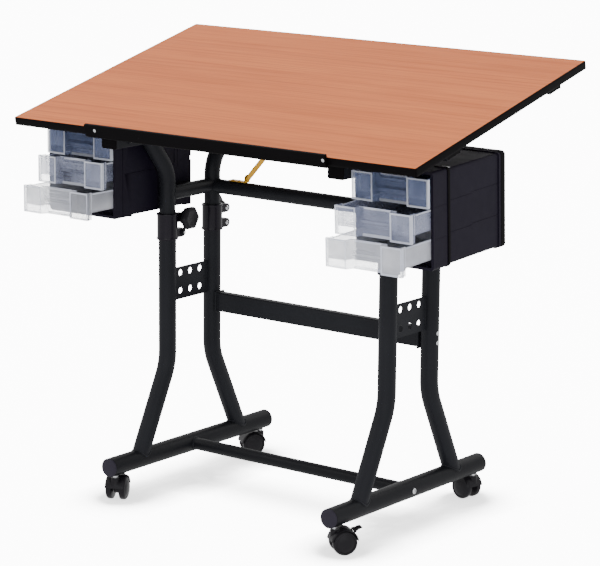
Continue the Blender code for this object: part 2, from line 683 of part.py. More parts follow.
# ---- tilting top: drawn level about the tilt pivot, then turned ----------------
def pivot_offset():
    """Distances from the top's front upper edge to the tilt pivot, along and under the board."""
    dy = TILT_PIVOT[0] - TOP_FRONT[0]
    dz = TILT_PIVOT[1] - TOP_FRONT[1]
    along = dy * math.cos(TILT) + dz * math.sin(TILT)
    under = dy * math.sin(TILT) - dz * math.cos(TILT)
    return along, under


def board_point(along, height):
    """Board coordinates (from the front edge, above the top face) to the level (Y, Z)."""
    pivot_along, pivot_under = pivot_offset()
    return TILT_PIVOT[0] + along - pivot_along, TILT_PIVOT[1] + height + pivot_under


def board_box(x_low, x_high, along, height):
    y0, z0 = board_point(along[0], height[0])
    y1, z1 = board_point(along[1], height[1])
    return box_bm((x_low, y0, z0), (x_high, y1, z1))


def tilting_top():
    pivot = (0, *TILT_PIVOT)
    half = TOP_WIDTH / 2
    top = new_object("tabletop", board_box(-half, half, (0, TOP_DEPTH), (-TOP_THICK, 0)), PARTS)
    bevel(top, 0.001)
    finish(top, LAMINATE, pivot, TILT, smooth=False)

    ledge = new_object("pencil_ledge",
                       board_box(-LEDGE_HALF, LEDGE_HALF, (-LEDGE_THICK - GAP, -GAP), LEDGE_H), PARTS)
    bevel(ledge, 0.0022, 2)
    finish(ledge, BLACK_PLASTIC, pivot, TILT)

    for end, along in BATTENS.items():
        x = half - BATTEN_INSET
        under = -TOP_THICK - GAP
        batten = new_object(f"batten_{end}", board_box(-x, x, along, (under - BATTEN_THICK, under)), PARTS)
        inside = (along[0] + BATTEN_WALL, along[1] - BATTEN_WALL)
        open_below = (under - BATTEN_THICK - PAST, under - BATTEN_WALL)
        cut(batten, [board_box(-half - PAST, half + PAST, inside, open_below)])
        finish(batten, BLACK_STEEL, pivot, TILT, smooth=False)


def hinge_brackets():
    """A saddle over each rail: two cheeks under a plate, with the tilt pin through both."""
    y, z = TILT_PIVOT
    under = board_point(0, -TOP_THICK)[1] - GAP
    for side, sx in SIDES.items():
        out = HINGE_GAP + HINGE_CHEEK
        low, high = sorted((sx * (RAIL_X[0] - out), sx * RAIL_X[1]))
        plate_low = under - HINGE_CHEEK
        bracket = new_object(f"tilt_hinge_{side}",
                             box_bm((low, y - HINGE_HALF_Y, plate_low), (high, y + HINGE_HALF_Y, under)), PARTS)
        cheek = sorted((sx * (RAIL_X[0] - HINGE_GAP), sx * (RAIL_X[0] - out)))
        ear = box_bm((cheek[0], y - HINGE_HALF_Y, z - HINGE_DROP), (cheek[1], y + HINGE_HALF_Y, plate_low + LAP))
        pin = cylinder_bm((sx * (RAIL_X[0] - out + LAP), y, z), (sx * (RAIL_X[1] - LAP), y, z), HINGE_PIN_R, 12)
        join(bracket, [ear, pin])
        finish(bracket, BLACK_STEEL, (0, y, z), TILT)


# ---- knee stay ----------------------------------------------------------------
def stay_top_point():
    """The stay's upper pivot at rest, in (Y, Z)."""
    y, z = board_point(STAY_TOP_S, -STAY_TOP_DROP)
    dy, dz = y - TILT_PIVOT[0], z - TILT_PIVOT[1]
    return (TILT_PIVOT[0] + dy * math.cos(TILT) - dz * math.sin(TILT),
            TILT_PIVOT[1] + dy * math.sin(TILT) + dz * math.cos(TILT))


def arm_bm(start, end, x_low, x_high):
    """A flat bar with rounded ends between two pivots in (Y, Z)."""
    angle = math.atan2(end[1] - start[1], end[0] - start[0])
    quarter = math.pi / 2
    outline = arc_points(end, STAY_HALF_WIDTH, angle - quarter, angle + quarter, 4)
    outline += arc_points(start, STAY_HALF_WIDTH, angle + quarter, angle + 3 * quarter, 4)
    return prism_bm(outline, x_low, x_high)


def pin_bm(x_low, x_high, place, radius):
    return cylinder_bm((x_low, *place), (x_high, *place), radius, 12)


def knee_stay():
    top_point = stay_top_point()
    lower_x = (STAY_X, STAY_X + STAY_THICK)
    upper_x = (lower_x[1] + GAP * 2, lower_x[1] + GAP * 2 + STAY_THICK)

    foot_x = (STAY_X - GAP * 2 - STAY_THICK, STAY_X - GAP * 2)
    pad_z = CROSS_Z + CROSS_R + GAP
    near_y, far_y = LEG_Y - STAY_PAD_HALF_Y, LEG_Y + STAY_PAD_HALF_Y
    pad = box_bm((STAY_PAD_X[0], near_y, pad_z), (foot_x[1], far_y, pad_z + STAY_PAD_THICK))
    foot = new_object("stay_foot", pad, PARTS)
    ear = box_bm((foot_x[0], near_y, pad_z + LAP), (foot_x[1], far_y, STAY_FOOT[1] + STAY_EAR_RISE))
    join(foot, [ear, pin_bm(foot_x[0] + LAP, lower_x[1], STAY_FOOT, STAY_PIN_R)])
    finish(foot, YELLOW_ZINC, (STAY_X, *STAY_FOOT))

    lower = new_object("stay_lower_arm", arm_bm(STAY_FOOT, STAY_ELBOW, *lower_x), PARTS)
    cut(lower, [pin_bm(lower_x[0] - PAST, lower_x[1] + PAST, STAY_FOOT, STAY_HOLE_R)])
    join(lower, [pin_bm(lower_x[0] + LAP, upper_x[1], STAY_ELBOW, STAY_PIN_R)])
    finish(lower, YELLOW_ZINC, (STAY_X, *STAY_FOOT))

    upper = new_object("stay_upper_arm", arm_bm(STAY_ELBOW, top_point, *upper_x), PARTS)
    cut(upper, [pin_bm(upper_x[0] - PAST, upper_x[1] + PAST, STAY_ELBOW, STAY_HOLE_R),
                pin_bm(upper_x[0] - PAST, upper_x[1] + PAST, top_point, STAY_END_HOLE_R)])
    finish(upper, YELLOW_ZINC, (STAY_X, *STAY_ELBOW))

    under = -TOP_THICK - GAP
    bracket_x = (upper_x[1] + GAP * 2, upper_x[1] + GAP * 2 + STAY_THICK)
    y, z = board_point(STAY_TOP_S, -STAY_TOP_DROP)
    half_length, reach = STAY_TOP_PAD
    along = (STAY_TOP_S - half_length, STAY_TOP_S + half_length)
    pad = board_box(bracket_x[0], bracket_x[1] + reach, along, (under - STAY_PAD_THICK, under))
    bracket = new_object("stay_top_bracket", pad, PARTS)
    plate = board_box(*bracket_x, along, (-STAY_TOP_DROP - STAY_EAR_RISE, under - LAP))
    join(bracket, [plate, pin_bm(upper_x[0], bracket_x[0] + LAP, (y, z), STAY_PIN_R)])
    finish(bracket, YELLOW_ZINC, (0, *TILT_PIVOT), TILT)


clear_scene()
PARTS = collection("drafting_table")
CUTTERS = collection("cutters")
floor_tubes()
lower_uprights()
web_plates()
collars_and_knobs()
base_bars()
casters()
upper_uprights()
upper_bars()
side_rails()
housings()
drawers()
tilting_top()
hinge_brackets()
knee_stay()
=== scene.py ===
"""Looks of the tilting drafting table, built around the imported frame.

Metres, +Z up, +X to the user's right, the user stands at -Y. Sizes and places come from
the frame's own boxes and joints. Section sizes that a box can't give are named below, or
at the top of the function that draws the section.
"""
import json
import math

import bmesh
import bpy
from mathutils import Matrix, Vector

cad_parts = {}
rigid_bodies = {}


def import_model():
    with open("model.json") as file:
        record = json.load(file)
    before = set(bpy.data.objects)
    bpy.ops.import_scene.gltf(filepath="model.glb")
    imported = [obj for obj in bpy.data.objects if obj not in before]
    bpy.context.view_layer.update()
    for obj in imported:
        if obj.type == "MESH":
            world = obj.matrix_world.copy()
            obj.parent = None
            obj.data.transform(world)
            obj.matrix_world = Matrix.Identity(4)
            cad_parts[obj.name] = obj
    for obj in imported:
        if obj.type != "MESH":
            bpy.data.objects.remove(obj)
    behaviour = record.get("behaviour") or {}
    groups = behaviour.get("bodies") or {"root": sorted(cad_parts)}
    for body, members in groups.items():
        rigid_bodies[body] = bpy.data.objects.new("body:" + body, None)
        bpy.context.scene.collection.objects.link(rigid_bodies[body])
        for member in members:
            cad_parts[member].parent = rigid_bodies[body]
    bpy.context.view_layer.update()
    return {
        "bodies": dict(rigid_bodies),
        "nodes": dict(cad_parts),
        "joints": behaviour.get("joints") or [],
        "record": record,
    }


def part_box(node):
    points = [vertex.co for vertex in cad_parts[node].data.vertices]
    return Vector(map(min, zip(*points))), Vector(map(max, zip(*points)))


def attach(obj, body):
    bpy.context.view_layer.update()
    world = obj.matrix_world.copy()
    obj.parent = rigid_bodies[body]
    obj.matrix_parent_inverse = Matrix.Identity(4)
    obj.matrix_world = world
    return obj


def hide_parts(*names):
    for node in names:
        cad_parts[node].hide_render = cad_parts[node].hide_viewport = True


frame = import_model()

RECORD = frame["record"]
BODY_OF = {node: body for body, nodes in RECORD["behaviour"]["bodies"].items() for node in nodes}
JOINTS = {joint["name"]: joint for joint in frame["joints"]}
MOUNTS = {mount["name"]: mount for mount in RECORD["mounts"]}
SIDES = {"left": -1, "right": 1}
ENDS = {"front": -1, "rear": 1}
CORNERS = [(f"{end}_{side}", sx, sy) for side, sx in SIDES.items() for end, sy in ENDS.items()]
HANDS = (-1, 1)
GAP = 0.0003  # between pieces that nearly touch
PAST = 0.01  # how far a cutter runs past what it cuts
QUARTER = math.pi / 2
FULL_TURN = 2 * math.pi
ACROSS = Vector((1, 0, 0))
ALONG = Vector((0, 1, 0))
UP = Vector((0, 0, 1))


def size_of(node):
    low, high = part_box(node)
    return high - low


def middle_of(node):
    low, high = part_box(node)
    return (low + high) / 2


# ---- sizes --------------------------------------------------------------------
MID_Y = middle_of("web_plate_left").y
LEG_X = middle_of("web_plate_right").x
FLOOR_TUBE_R = size_of("floor_tube_left").x / 2
FLOOR_TUBE_WALL = 0.0018
FLOOR_TUBE_Z = middle_of("floor_tube_left").z
LOWER_R = size_of("lower_upright_rear_left").x / 2
LEG_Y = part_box("lower_upright_rear_left")[0].y + LOWER_R - MID_Y
LOWER_TOP_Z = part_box("lower_upright_rear_left")[1].z
LOWER_BORE_R = 0.0174
LOWER_CORNER_Z = 0.268
LOWER_FOOT_Y = 0.168
LOWER_BEND_R = 0.12
UPPER_R = size_of("upper_upright_rear_left").x / 2
UPPER_BORE_R = UPPER_R - 0.0015
UPPER_END_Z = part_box("upper_upright_rear_left")[0].z
UPPER_SEAT_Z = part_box("upper_upright_rear_left")[1].z
UPPER_BEND_Z = 0.655
UPPER_BEND_R = 0.075
UPPER_SPLAY = math.radians(38)
UPPER_RUN = 0.090
PLATE_HOLE_R = 0.007
PLATE_HOLE_Y = (-0.032, 0.0, 0.032)
PLATE_HOLE_Z = (0.418, 0.457)
COLLAR_R = 0.0228
EAR_HALF_X = 0.0065
EAR_REACH = 0.0525
EAR_R = 0.0095
EAR_HOLE_R = 0.004
SLIT_HALF_X = 0.001
EAR_Z = (0.578, 0.5455)
KNOB_Y = 0.0425
KNOB_R = 0.0258
KNOB_NECK = 0.0115
KNOB_HEAD = 0.016
KNOB_FLAT = 0.885
KNOB_CORNER = 0.992
MID_BAR_HALF = (0.010, 0.021)
FLANGE_HALF_Y = 0.015
FLANGE_THICK = 0.004
MID_SCREW_Z = (0.392, 0.372)
WHEEL_R = 0.025
WHEEL_INNER = 0.0081
WHEEL_OUTER = 0.0239
HOOD_R = 0.0285
HOOD_BORE_R = 0.0260
HOOD_HALF_X = 0.0225
HOOD_SKIRT_Z = 0.0042
HOOD_WEB_HALF_X = 0.0050
BRAKE_PIVOT = (0.0222, 0.0215)
BRAKE_HALF_X = 0.008
HOUSING_WALL = 0.0035
BEZEL_DEPTH = 0.054
REAR_BAND_DEPTH = 0.022
BAND_OUT = 0.0022
DRAWER_LEVEL = {"bottom": 0, "middle": 1, "top": 2}
DRAWER_PITCH = 0.0575
DRAWER_RISE = 0.0055
FRONT_HEIGHT = 0.0563
FRONT_PROUD = 0.007
FRONT_INSET_X = 0.0012
BODY_RAISE = 0.0145
BODY_INSET_X = HOUSING_WALL + 0.0015
DRAWER_WALL = 0.0022
RECESS_HALF = 0.040
RECESS_TAPER = 0.008
RECESS_DEPTH = 0.016
SHELF_THICK = 0.003
SHELF_SETBACK = 0.024
BOARD_BAND = 0.0018
BOARD_CORNER = 0.0035
LEDGE_THICK = 0.008
LEDGE_Z = (-0.0195, 0.008)
LEDGE_SCREW_Z = -0.0035
BATTEN_ROWS = {"front": (0.117, 0.164), "rear": (0.488, 0.527)}
BATTEN_DROP = 0.0135
BATTEN_WALL = 0.002
STAY_HALF_WIDTH = 0.0065
STAY_THICK = 0.0025
STAY_GAP = 0.0006
STAY_PIN_R = 0.003
STAY_HOLE_R = 0.0034
STAY_END_HOLE_R = 0.0048
STAY_EAR_R = 0.0072
STAY_TOP = (0.220, -0.0340)


# ---- camera, floor and light ----------------------------------------------------
CAMERA_PLACE = (3.23599, -4.21745, 1.58653)
CAMERA_TURN = math.radians(37.6089)
CAMERA_RISE = math.radians(11.8043)
CAMERA_ROLL = math.radians(0.4748)
CAMERA_LENS = 157.40
CAMERA_SHIFT = (0.02068, -0.00467)
WORLD_STRENGTH = 1.15
# name, place, target, size, power, colour
LAMPS = [
    ("key", (-2.2, -2.6, 3.4), (0, 0, 0.5), (2.6, 2.0), 40, (1.0, 0.985, 0.96)),
    ("fill", (3.3, -2.3, 1.1), (-0.1, 0, 0.6), (2.2, 1.8), 14, (0.95, 0.97, 1.0)),
    ("front", (1.6, -4.4, 0.9), (0, 0, 0.55), (2.6, 1.4), 24, (0.97, 0.98, 1.0)),
    ("rim", (0.4, 3.2, 2.6), (0, 0, 0.6), (2.4, 1.2), 12, (1, 1, 1)),
]
FLOOR_REACH = 38.0
FLOOR_GLOW = 11.0
SHADE_GLOW = 1.7
SHADE_REACH = 0.125
SHADE_OPENNESS = (0.76, 0.975)


def camera():
    turn, rise, roll = CAMERA_TURN, CAMERA_RISE, CAMERA_ROLL
    back = Vector((math.sin(turn) * math.cos(rise), -math.cos(turn) * math.cos(rise), math.sin(rise)))
    level = Vector((math.cos(turn), math.sin(turn), 0))
    upright = back.cross(level)
    x_axis = level * math.cos(roll) + upright * math.sin(roll)
    y_axis = upright * math.cos(roll) - level * math.sin(roll)
    lens = bpy.data.cameras.new("camera")
    lens.sensor_width = 36.0
    lens.lens = CAMERA_LENS
    lens.shift_x, lens.shift_y = CAMERA_SHIFT
    lens.clip_end = 60.0
    eye = bpy.data.objects.new("camera", lens)
    facing = Matrix((x_axis, y_axis, back)).transposed().to_4x4()
    eye.matrix_world = Matrix.Translation(CAMERA_PLACE) @ facing
    bpy.context.scene.collection.objects.link(eye)
    bpy.context.scene.camera = eye


def studio():
    world = bpy.data.worlds.new("studio")
    world.use_nodes = True
    background = world.node_tree.nodes["Background"]
    background.inputs["Color"].default_value = (1.0, 1.0, 1.0, 1)
    background.inputs["Strength"].default_value = WORLD_STRENGTH
    bpy.context.scene.world = world
    for name, place, target, size, power, colour in LAMPS:
        lamp = bpy.data.lights.new(name, "AREA")
        lamp.shape = "RECTANGLE"
        lamp.size, lamp.size_y = size
        lamp.energy = power
        lamp.color = colour
        holder = bpy.data.objects.new(name, lamp)
        holder.location = place
        holder.rotation_euler = (Vector(target) - Vector(place)).to_track_quat("-Z", "Y").to_euler()
        bpy.context.scene.collection.objects.link(holder)


def floor_paper():
    """White that glows evenly, except close under the table, where ambient occlusion dims its glow: a painted
    shadow.
    """
    paper = bpy.data.materials.new("floor_white")
    paper.use_nodes = True
    nodes, links = paper.node_tree.nodes, paper.node_tree.links
    shader = nodes["Principled BSDF"]
    shader.inputs["Base Color"].default_value = (0.93, 0.93, 0.93, 1)
    shader.inputs["Roughness"].default_value = 0.85
    shader.inputs["Specular IOR Level"].default_value = 0.0
    shader.inputs["Emission Color"].default_value = (1, 1, 1, 1)
    shade = nodes.new("ShaderNodeAmbientOcclusion")
    shade.samples = 32
    shade.inputs["Distance"].default_value = SHADE_REACH
    glow = nodes.new("ShaderNodeMapRange")
    glow.inputs["From Min"].default_value, glow.inputs["From Max"].default_value = SHADE_OPENNESS
    glow.inputs["To Min"].default_value = SHADE_GLOW
    glow.inputs["To Max"].default_value = FLOOR_GLOW
    links.new(shade.outputs["AO"], glow.inputs["Value"])
    links.new(glow.outputs["Result"], shader.inputs["Emission Strength"])
    return paper


def floor():
    bm = bmesh.new()
    signs = ((-1, -1), (1, -1), (1, 1), (-1, 1))
    bm.faces.new([bm.verts.new((x * FLOOR_REACH, y * FLOOR_REACH, 0)) for x, y in signs])
    mesh = bpy.data.meshes.new("floor")
    bm.to_mesh(mesh)
    bm.free()
    mesh.materials.append(floor_paper())
    ground = bpy.data.objects.new("floor", mesh)
    bpy.context.scene.collection.objects.link(ground)
    ground.visible_diffuse = False
    ground.visible_glossy = False
    ground.visible_shadow = False


# ---- materials ------------------------------------------------------------------
POWDER_TONES = [(0.0104, 0.0108, 0.0140), (0.0142, 0.0148, 0.0186), (0.018, 0.019, 0.022)]
# figure from dark to light, then streaks, fibres and pores
WOOD = [(0.635, 0.137, 0.021), (0.735, 0.170, 0.029), (0.815, 0.209, 0.041),
        (0.485, 0.082, 0.011), (0.92, 0.30, 0.075), (0.35, 0.055, 0.010)]
# how much of the clear plastic's light is held face on and edge on, then its tint. The top, middle and bottom
# drawers are one plastic: their copies differ only as painted shade and light, the top darker and bluer for
# the shadow of the board, the bottom whiter for the light it gets.
MILK_WITH_LEVEL_SHADE = {
    "top": (0.21, 0.47, [(0.19, 0.24, 0.43), (0.31, 0.37, 0.59)]),
    "middle": (0.30, 0.52, [(0.34, 0.38, 0.53), (0.50, 0.53, 0.69)]),
    "bottom": (0.38, 0.58, [(0.64, 0.66, 0.74), (0.82, 0.83, 0.89)]),
    "thick": (0.56, 0.80, [(0.66, 0.70, 0.84), (0.82, 0.85, 0.94)]),
}
# gold with a drift towards pink and green
ZINC_TONES = [(0.30, (0.40, 0.18, 0.008)), (0.44, (0.62, 0.31, 0.010)), (0.56, (0.72, 0.38, 0.016)),
              (0.68, (0.56, 0.24, 0.040)), (0.78, (0.42, 0.32, 0.040))]


class Look:
    """A procedural material built node by node on object coordinates."""

    def __init__(self, name, roughness, metallic=0.0, **sockets):
        self.material = bpy.data.materials.new(name)
        self.material.use_nodes = True
        self.tree = self.material.node_tree
        self.shader = self.tree.nodes["Principled BSDF"]
        self.shader.inputs["Roughness"].default_value = roughness
        self.shader.inputs["Metallic"].default_value = metallic
        for socket, value in sockets.items():
            self.shader.inputs[socket.replace("_", " ")].default_value = value
        self.coordinates = self.tree.nodes.new("ShaderNodeTexCoord").outputs["Object"]

    def node(self, kind, **settings):
        made = self.tree.nodes.new(kind)
        for socket, value in settings.items():
            made.inputs[socket.replace("_", " ")].default_value = value
        return made

    def link(self, source, target):
        self.tree.links.new(source, target)

    def mapped(self, scale, turn=(0, 0, 0)):
        mapping = self.node("ShaderNodeMapping", Scale=scale, Rotation=turn)
        self.link(self.coordinates, mapping.inputs["Vector"])
        return mapping.outputs["Vector"]

    def noise(self, scale, detail=2.0, rough=0.5, vector=None, distortion=0.0):
        made = self.node("ShaderNodeTexNoise", Scale=scale, Detail=detail, Roughness=rough,
                         Distortion=distortion)
        self.link(vector or self.coordinates, made.inputs["Vector"])
        return made.outputs["Fac"]

    def cells(self, scale):
        made = self.node("ShaderNodeTexVoronoi", Scale=scale)
        self.link(self.coordinates, made.inputs["Vector"])
        return made.outputs["Distance"]

    def ramp(self, source, stops):
        made = self.node("ShaderNodeValToRGB")
        elements = made.color_ramp.elements
        elements.remove(elements[1])
        for index, (place, colour) in enumerate(stops):
            stop = elements[0] if index == 0 else elements.new(place)
            stop.position = place
            stop.color = (*colour, 1)
        self.link(source, made.inputs["Fac"])
        return made.outputs["Color"]

    def spread(self, source, low, high):
        made = self.node("ShaderNodeMapRange", To_Min=low, To_Max=high)
        self.link(source, made.inputs["Value"])
        return made.outputs["Result"]

    def mixed(self, first, second, amount):
        made = self.node("ShaderNodeMix")
        made.data_type = "RGBA"
        for socket, value in ((6, first), (7, second)):
            if isinstance(value, tuple):
                made.inputs[socket].default_value = (*value, 1)
            else:
                self.link(value, made.inputs[socket])
        self.link(amount, made.inputs[0])
        return made.outputs[2]

    def bump(self, height, strength, distance, under=None):
        made = self.node("ShaderNodeBump", Strength=strength, Distance=distance)
        self.link(height, made.inputs["Height"])
        if under:
            self.link(under, made.inputs["Normal"])
        return made.outputs["Normal"]

    def colour(self, source):
        self.link(source, self.shader.inputs["Base Color"])

    def roughness(self, source):
        self.link(source, self.shader.inputs["Roughness"])

    def normal(self, source):
        self.link(source, self.shader.inputs["Normal"])


def powder_coat(name, share=1.0):
    """Black powder coat: fine orange peel, slight cloudiness in colour and gloss."""
    look = Look(name, 0.42, Specular_IOR_Level=0.10)
    # a share below 1 darkens the colour, which paints shade
    low, high, speck = [tuple(share * c for c in tone) for tone in POWDER_TONES]
    grain = look.noise(1400.0)
    tone = look.ramp(look.noise(9.0, 4.0), [(0.3, low), (0.7, high)])
    look.colour(look.mixed(tone, speck, look.spread(grain, 0.0, 0.35)))
    look.roughness(look.spread(look.noise(30.0, 5.0), 0.34, 0.52))
    peel = look.bump(look.noise(620.0, 1.0), 0.22, 0.0003)
    look.normal(look.bump(grain, 0.12, 0.0001, peel))
    return look.material


def moulded_black(name, low, high, rough, texture, gloss=0.15):
    """Black moulded plastic with a fine spark-eroded grain."""
    look = Look(name, sum(rough) / 2, Specular_IOR_Level=gloss)
    tone = look.ramp(look.noise(14.0, 5.0, 0.6), [(0.25, low), (0.75, high)])
    speck = tuple(2.1 * c for c in high)
    look.colour(look.mixed(tone, speck, look.spread(look.noise(2200.0, 1.0), 0.0, 0.22)))
    look.roughness(look.spread(look.noise(45.0, 4.0), *rough))
    grain = look.bump(look.cells(1500.0), texture, 0.00012)
    look.normal(look.bump(look.noise(120.0, 3.0), 0.05, 0.0006, grain))
    return look.material


def clear_styrene(name, face_on, edge_on, tint):
    """Frosted clear polystyrene: milky and faintly blue, denser where it is seen edge on."""
    look = Look(name, 0.22, IOR=1.5, Specular_IOR_Level=0.6)
    look.colour(look.ramp(look.noise(22.0, 5.0, 0.6), [(0.3, tint[0]), (0.7, tint[1])]))
    scuffs = look.noise(240.0, 3.0, 0.6, look.mapped((1.0, 0.35, 1.6)))
    look.roughness(look.spread(scuffs, 0.14, 0.34))
    look.normal(look.bump(look.noise(90.0), 0.04, 0.0004))
    facing = look.node("ShaderNodeLayerWeight", Blend=0.35).outputs["Facing"]
    clouded = look.mixed((face_on,) * 3, (face_on * 1.5,) * 3, look.noise(34.0, 4.0, 0.6))
    look.link(look.mixed(clouded, (edge_on,) * 3, facing), look.shader.inputs["Alpha"])
    return look.material


def laminate(tilt):
    """Reddish-brown wood-grain laminate with its figure and pores running along the width."""
    look = Look("laminate_wood", 0.42, Specular_IOR_Level=0.2)
    turn = (-tilt, 0, 0)

    def laid_over(ground, tone, grain, start, stop, amount):
        return look.mixed(ground, tone, look.ramp(grain, [(start, (0, 0, 0)), (stop, (amount,) * 3)]))

    figure = look.noise(1.0, 4.0, 0.55, look.mapped((1.5, 16.0, 16.0), turn), 0.9)
    streaks = look.noise(1.0, 5.0, 0.65, look.mapped((1.6, 150.0, 150.0), turn), 0.3)
    fibres = look.noise(1.0, 3.0, 0.6, look.mapped((9.0, 520.0, 520.0), turn))
    pores = look.noise(1.0, 2.0, 0.5, look.mapped((60.0, 1500.0, 1500.0), turn))
    ground = look.ramp(figure, [(0.25, WOOD[0]), (0.5, WOOD[1]), (0.78, WOOD[2])])
    streaked = laid_over(ground, WOOD[3], streaks, 0.46, 0.66, 0.60)
    fibred = laid_over(streaked, WOOD[4], fibres, 0.42, 0.75, 0.30)
    look.colour(laid_over(fibred, WOOD[5], pores, 0.64, 0.72, 0.38))
    look.roughness(look.spread(streaks, 0.36, 0.50))
    look.normal(look.bump(fibres, 0.06, 0.0002))
    return look.material


def backing_sheet():
    """The dark brown balancing sheet on the underside of the board."""
    look = Look("backing_sheet_brown", 0.65, Specular_IOR_Level=0.2)
    fibre = look.noise(1.0, 4.0, 0.6, look.mapped((40.0, 260.0, 260.0)))
    tone = look.ramp(look.noise(12.0, 4.0), [(0.3, (0.040, 0.026, 0.018)), (0.7, (0.062, 0.042, 0.030))])
    look.colour(look.mixed(tone, (0.090, 0.066, 0.048), look.spread(fibre, 0.0, 0.4)))
    look.roughness(look.spread(fibre, 0.55, 0.75))
    look.normal(look.bump(fibre, 0.10, 0.0003))
    return look.material


def yellow_zinc():
    """Yellow passivated zinc plating."""
    look = Look("yellow_zinc", 0.30, 0.70)
    look.colour(look.ramp(look.noise(55.0, 3.0, 0.6, distortion=1.2), ZINC_TONES))
    look.roughness(look.spread(look.noise(300.0, 4.0), 0.22, 0.42))
    look.normal(look.bump(look.noise(700.0, vector=look.mapped((1, 1, 6))), 0.12, 0.0002))
    return look.material


def bright_steel():
    """Bright zinc plating, finely brushed."""
    look = Look("bright_zinc_steel", 0.28, 0.95)
    look.colour(look.ramp(look.noise(180.0, 4.0), [(0.3, (0.56, 0.57, 0.59)), (0.7, (0.78, 0.79, 0.80))]))
    look.roughness(look.spread(look.noise(900.0, 3.0), 0.20, 0.40))
    look.normal(look.bump(look.noise(1300.0, vector=look.mapped((1, 4, 1))), 0.10, 0.0001))
    return look.material


POWDER = powder_coat("powder_coat_black")
# the floor tubes and the floor stretcher take a copy of the powder coat at 0.6 of its colour: painted shade
# that holds back the light on their tops
SHADED_POWDER = powder_coat("powder_coat_black_floor_tubes_painted_shade", 0.60)
HOUSING_BLACK = moulded_black("housing_polystyrene_black", (0.0066, 0.0050, 0.0110), (0.0096, 0.0074, 0.0152),
                              (0.42, 0.60), 0.30, 0.08)
CAP_BLACK = moulded_black("cap_polyethylene_black", (0.014, 0.012, 0.020), (0.021, 0.018, 0.028),
                          (0.45, 0.6), 0.22)
KNOB_BLACK = moulded_black("knob_nylon_black", (0.009, 0.009, 0.011), (0.014, 0.013, 0.016),
                           (0.36, 0.50), 0.25)
CASTER_BLACK = moulded_black("caster_nylon_black", (0.006, 0.0055, 0.0075), (0.011, 0.010, 0.012),
                             (0.26, 0.40), 0.12)
EDGE_BLACK = moulded_black("edge_band_vinyl_black", (0.0012, 0.0009, 0.0012), (0.0020, 0.0015, 0.0020),
                           (0.38, 0.52), 0.15, 0.04)
COLLAR_BLACK = moulded_black("clamp_sleeve_nylon_black", (0.0060, 0.0044, 0.0084), (0.0092, 0.0072, 0.0122),
                             (0.18, 0.28), 0.06, 0.17)
# one copy of the plastic for each level of drawers, lit and shaded by painted colour, and one milkier copy
# for the thick parts
STYRENE_WITH_LEVEL_SHADE = {name: clear_styrene(f"frosted_clear_styrene_{name}", *tones) for name, tones in MILK_WITH_LEVEL_SHADE.items()}
ZINC = yellow_zinc()
STEEL = bright_steel()


# ---- mesh helpers ---------------------------------------------------------------
def object_from(bm, name):
    mesh = bpy.data.meshes.new(name)
    bmesh.ops.recalc_face_normals(bm, faces=bm.faces)
    bm.to_mesh(mesh)
    bm.free()
    obj = bpy.data.objects.new(name, mesh)
    bpy.context.scene.collection.objects.link(obj)
    return obj


def box_bm(first, second):
    """A box between any two opposite corners."""
    low = [min(pair) for pair in zip(first, second)]
    high = [max(pair) for pair in zip(first, second)]
    bm = bmesh.new()
    bmesh.ops.create_cube(bm, size=1.0)
    bmesh.ops.scale(bm, vec=[b - a for a, b in zip(low, high)], verts=bm.verts)
    bmesh.ops.translate(bm, vec=[(a + b) / 2 for a, b in zip(low, high)], verts=bm.verts)
    return bm


def turned(bm, matrix):
    bmesh.ops.transform(bm, matrix=matrix, verts=bm.verts)
    return bm


def about(place, angle):
    """A turn about the X axis through a place."""
    return Matrix.Translation(place) @ Matrix.Rotation(angle, 4, "X") @ Matrix.Translation(-Vector(place))


def merged(*solids):
    """Several separate solids as one mesh."""
    whole = bmesh.new()
    for bm in solids:
        mesh = bpy.data.meshes.new("part")
        bmesh.ops.recalc_face_normals(bm, faces=bm.faces)
        bm.to_mesh(mesh)
        bm.free()
        whole.from_mesh(mesh)
        bpy.data.meshes.remove(mesh)
    return whole


def carved(bm, cutters, operation="DIFFERENCE"):
    """The mesh after an exact Boolean with each cutter in turn."""
    body = object_from(bm, "carved")
    tools = [object_from(cutter, "cutter") for cutter in cutters]
    for tool in tools:
        step = body.modifiers.new("Boolean", "BOOLEAN")
        step.operation = operation
        step.solver = "EXACT"
        step.object = tool
    evaluated = body.evaluated_get(bpy.context.evaluated_depsgraph_get())
    mesh = bpy.data.meshes.new_from_object(evaluated)
    result = bmesh.new()
    result.from_mesh(mesh)
    for spare in [body] + tools:
        bpy.data.objects.remove(spare, do_unlink=True)
    bpy.data.meshes.remove(mesh)
    return result


def joined(bm, *added):
    return carved(bm, added, "UNION")


def rounding(obj, width, segments, angle):
    step = obj.modifiers.new("Edge rounding", "BEVEL")
    step.width = width
    step.segments = segments
    step.limit_method = "ANGLE"
    step.angle_limit = math.radians(angle)
    step.miter_outer = "MITER_ARC"


def piece(name, bm, look, node=None, body=None, slot=None, edge=0.0, segments=2, angle=35, crisp=True,
          second=None, marks=()):
    """A finished piece: edges rounded, shaded and painted, riding on its body and standing for
    its CAD node. The slot argument is not used. The faces that marks holds
    true for, in their order, take the second look."""
    for face, marked in zip(bm.faces, marks):
        face.material_index = int(marked)
    obj = object_from(bm, name)
    if edge:
        rounding(obj, edge, segments, angle)
    obj.data.shade_smooth()
    if crisp:
        obj.modifiers.new("Flat faces", "WEIGHTED_NORMAL").keep_sharp = True
    if not edge:
        obj.data.set_sharp_from_angle(angle=math.radians(40))
    obj.data.materials.append(look)
    if second:
        obj.data.materials.append(second)
    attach(obj, body or BODY_OF[node])
    if node:
        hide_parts(node)


def ring(centre, first, second, radius, segments):
    turns = [FULL_TURN * i / segments for i in range(segments)]
    return [centre + (first * math.cos(a) + second * math.sin(a)) * radius for a in turns]


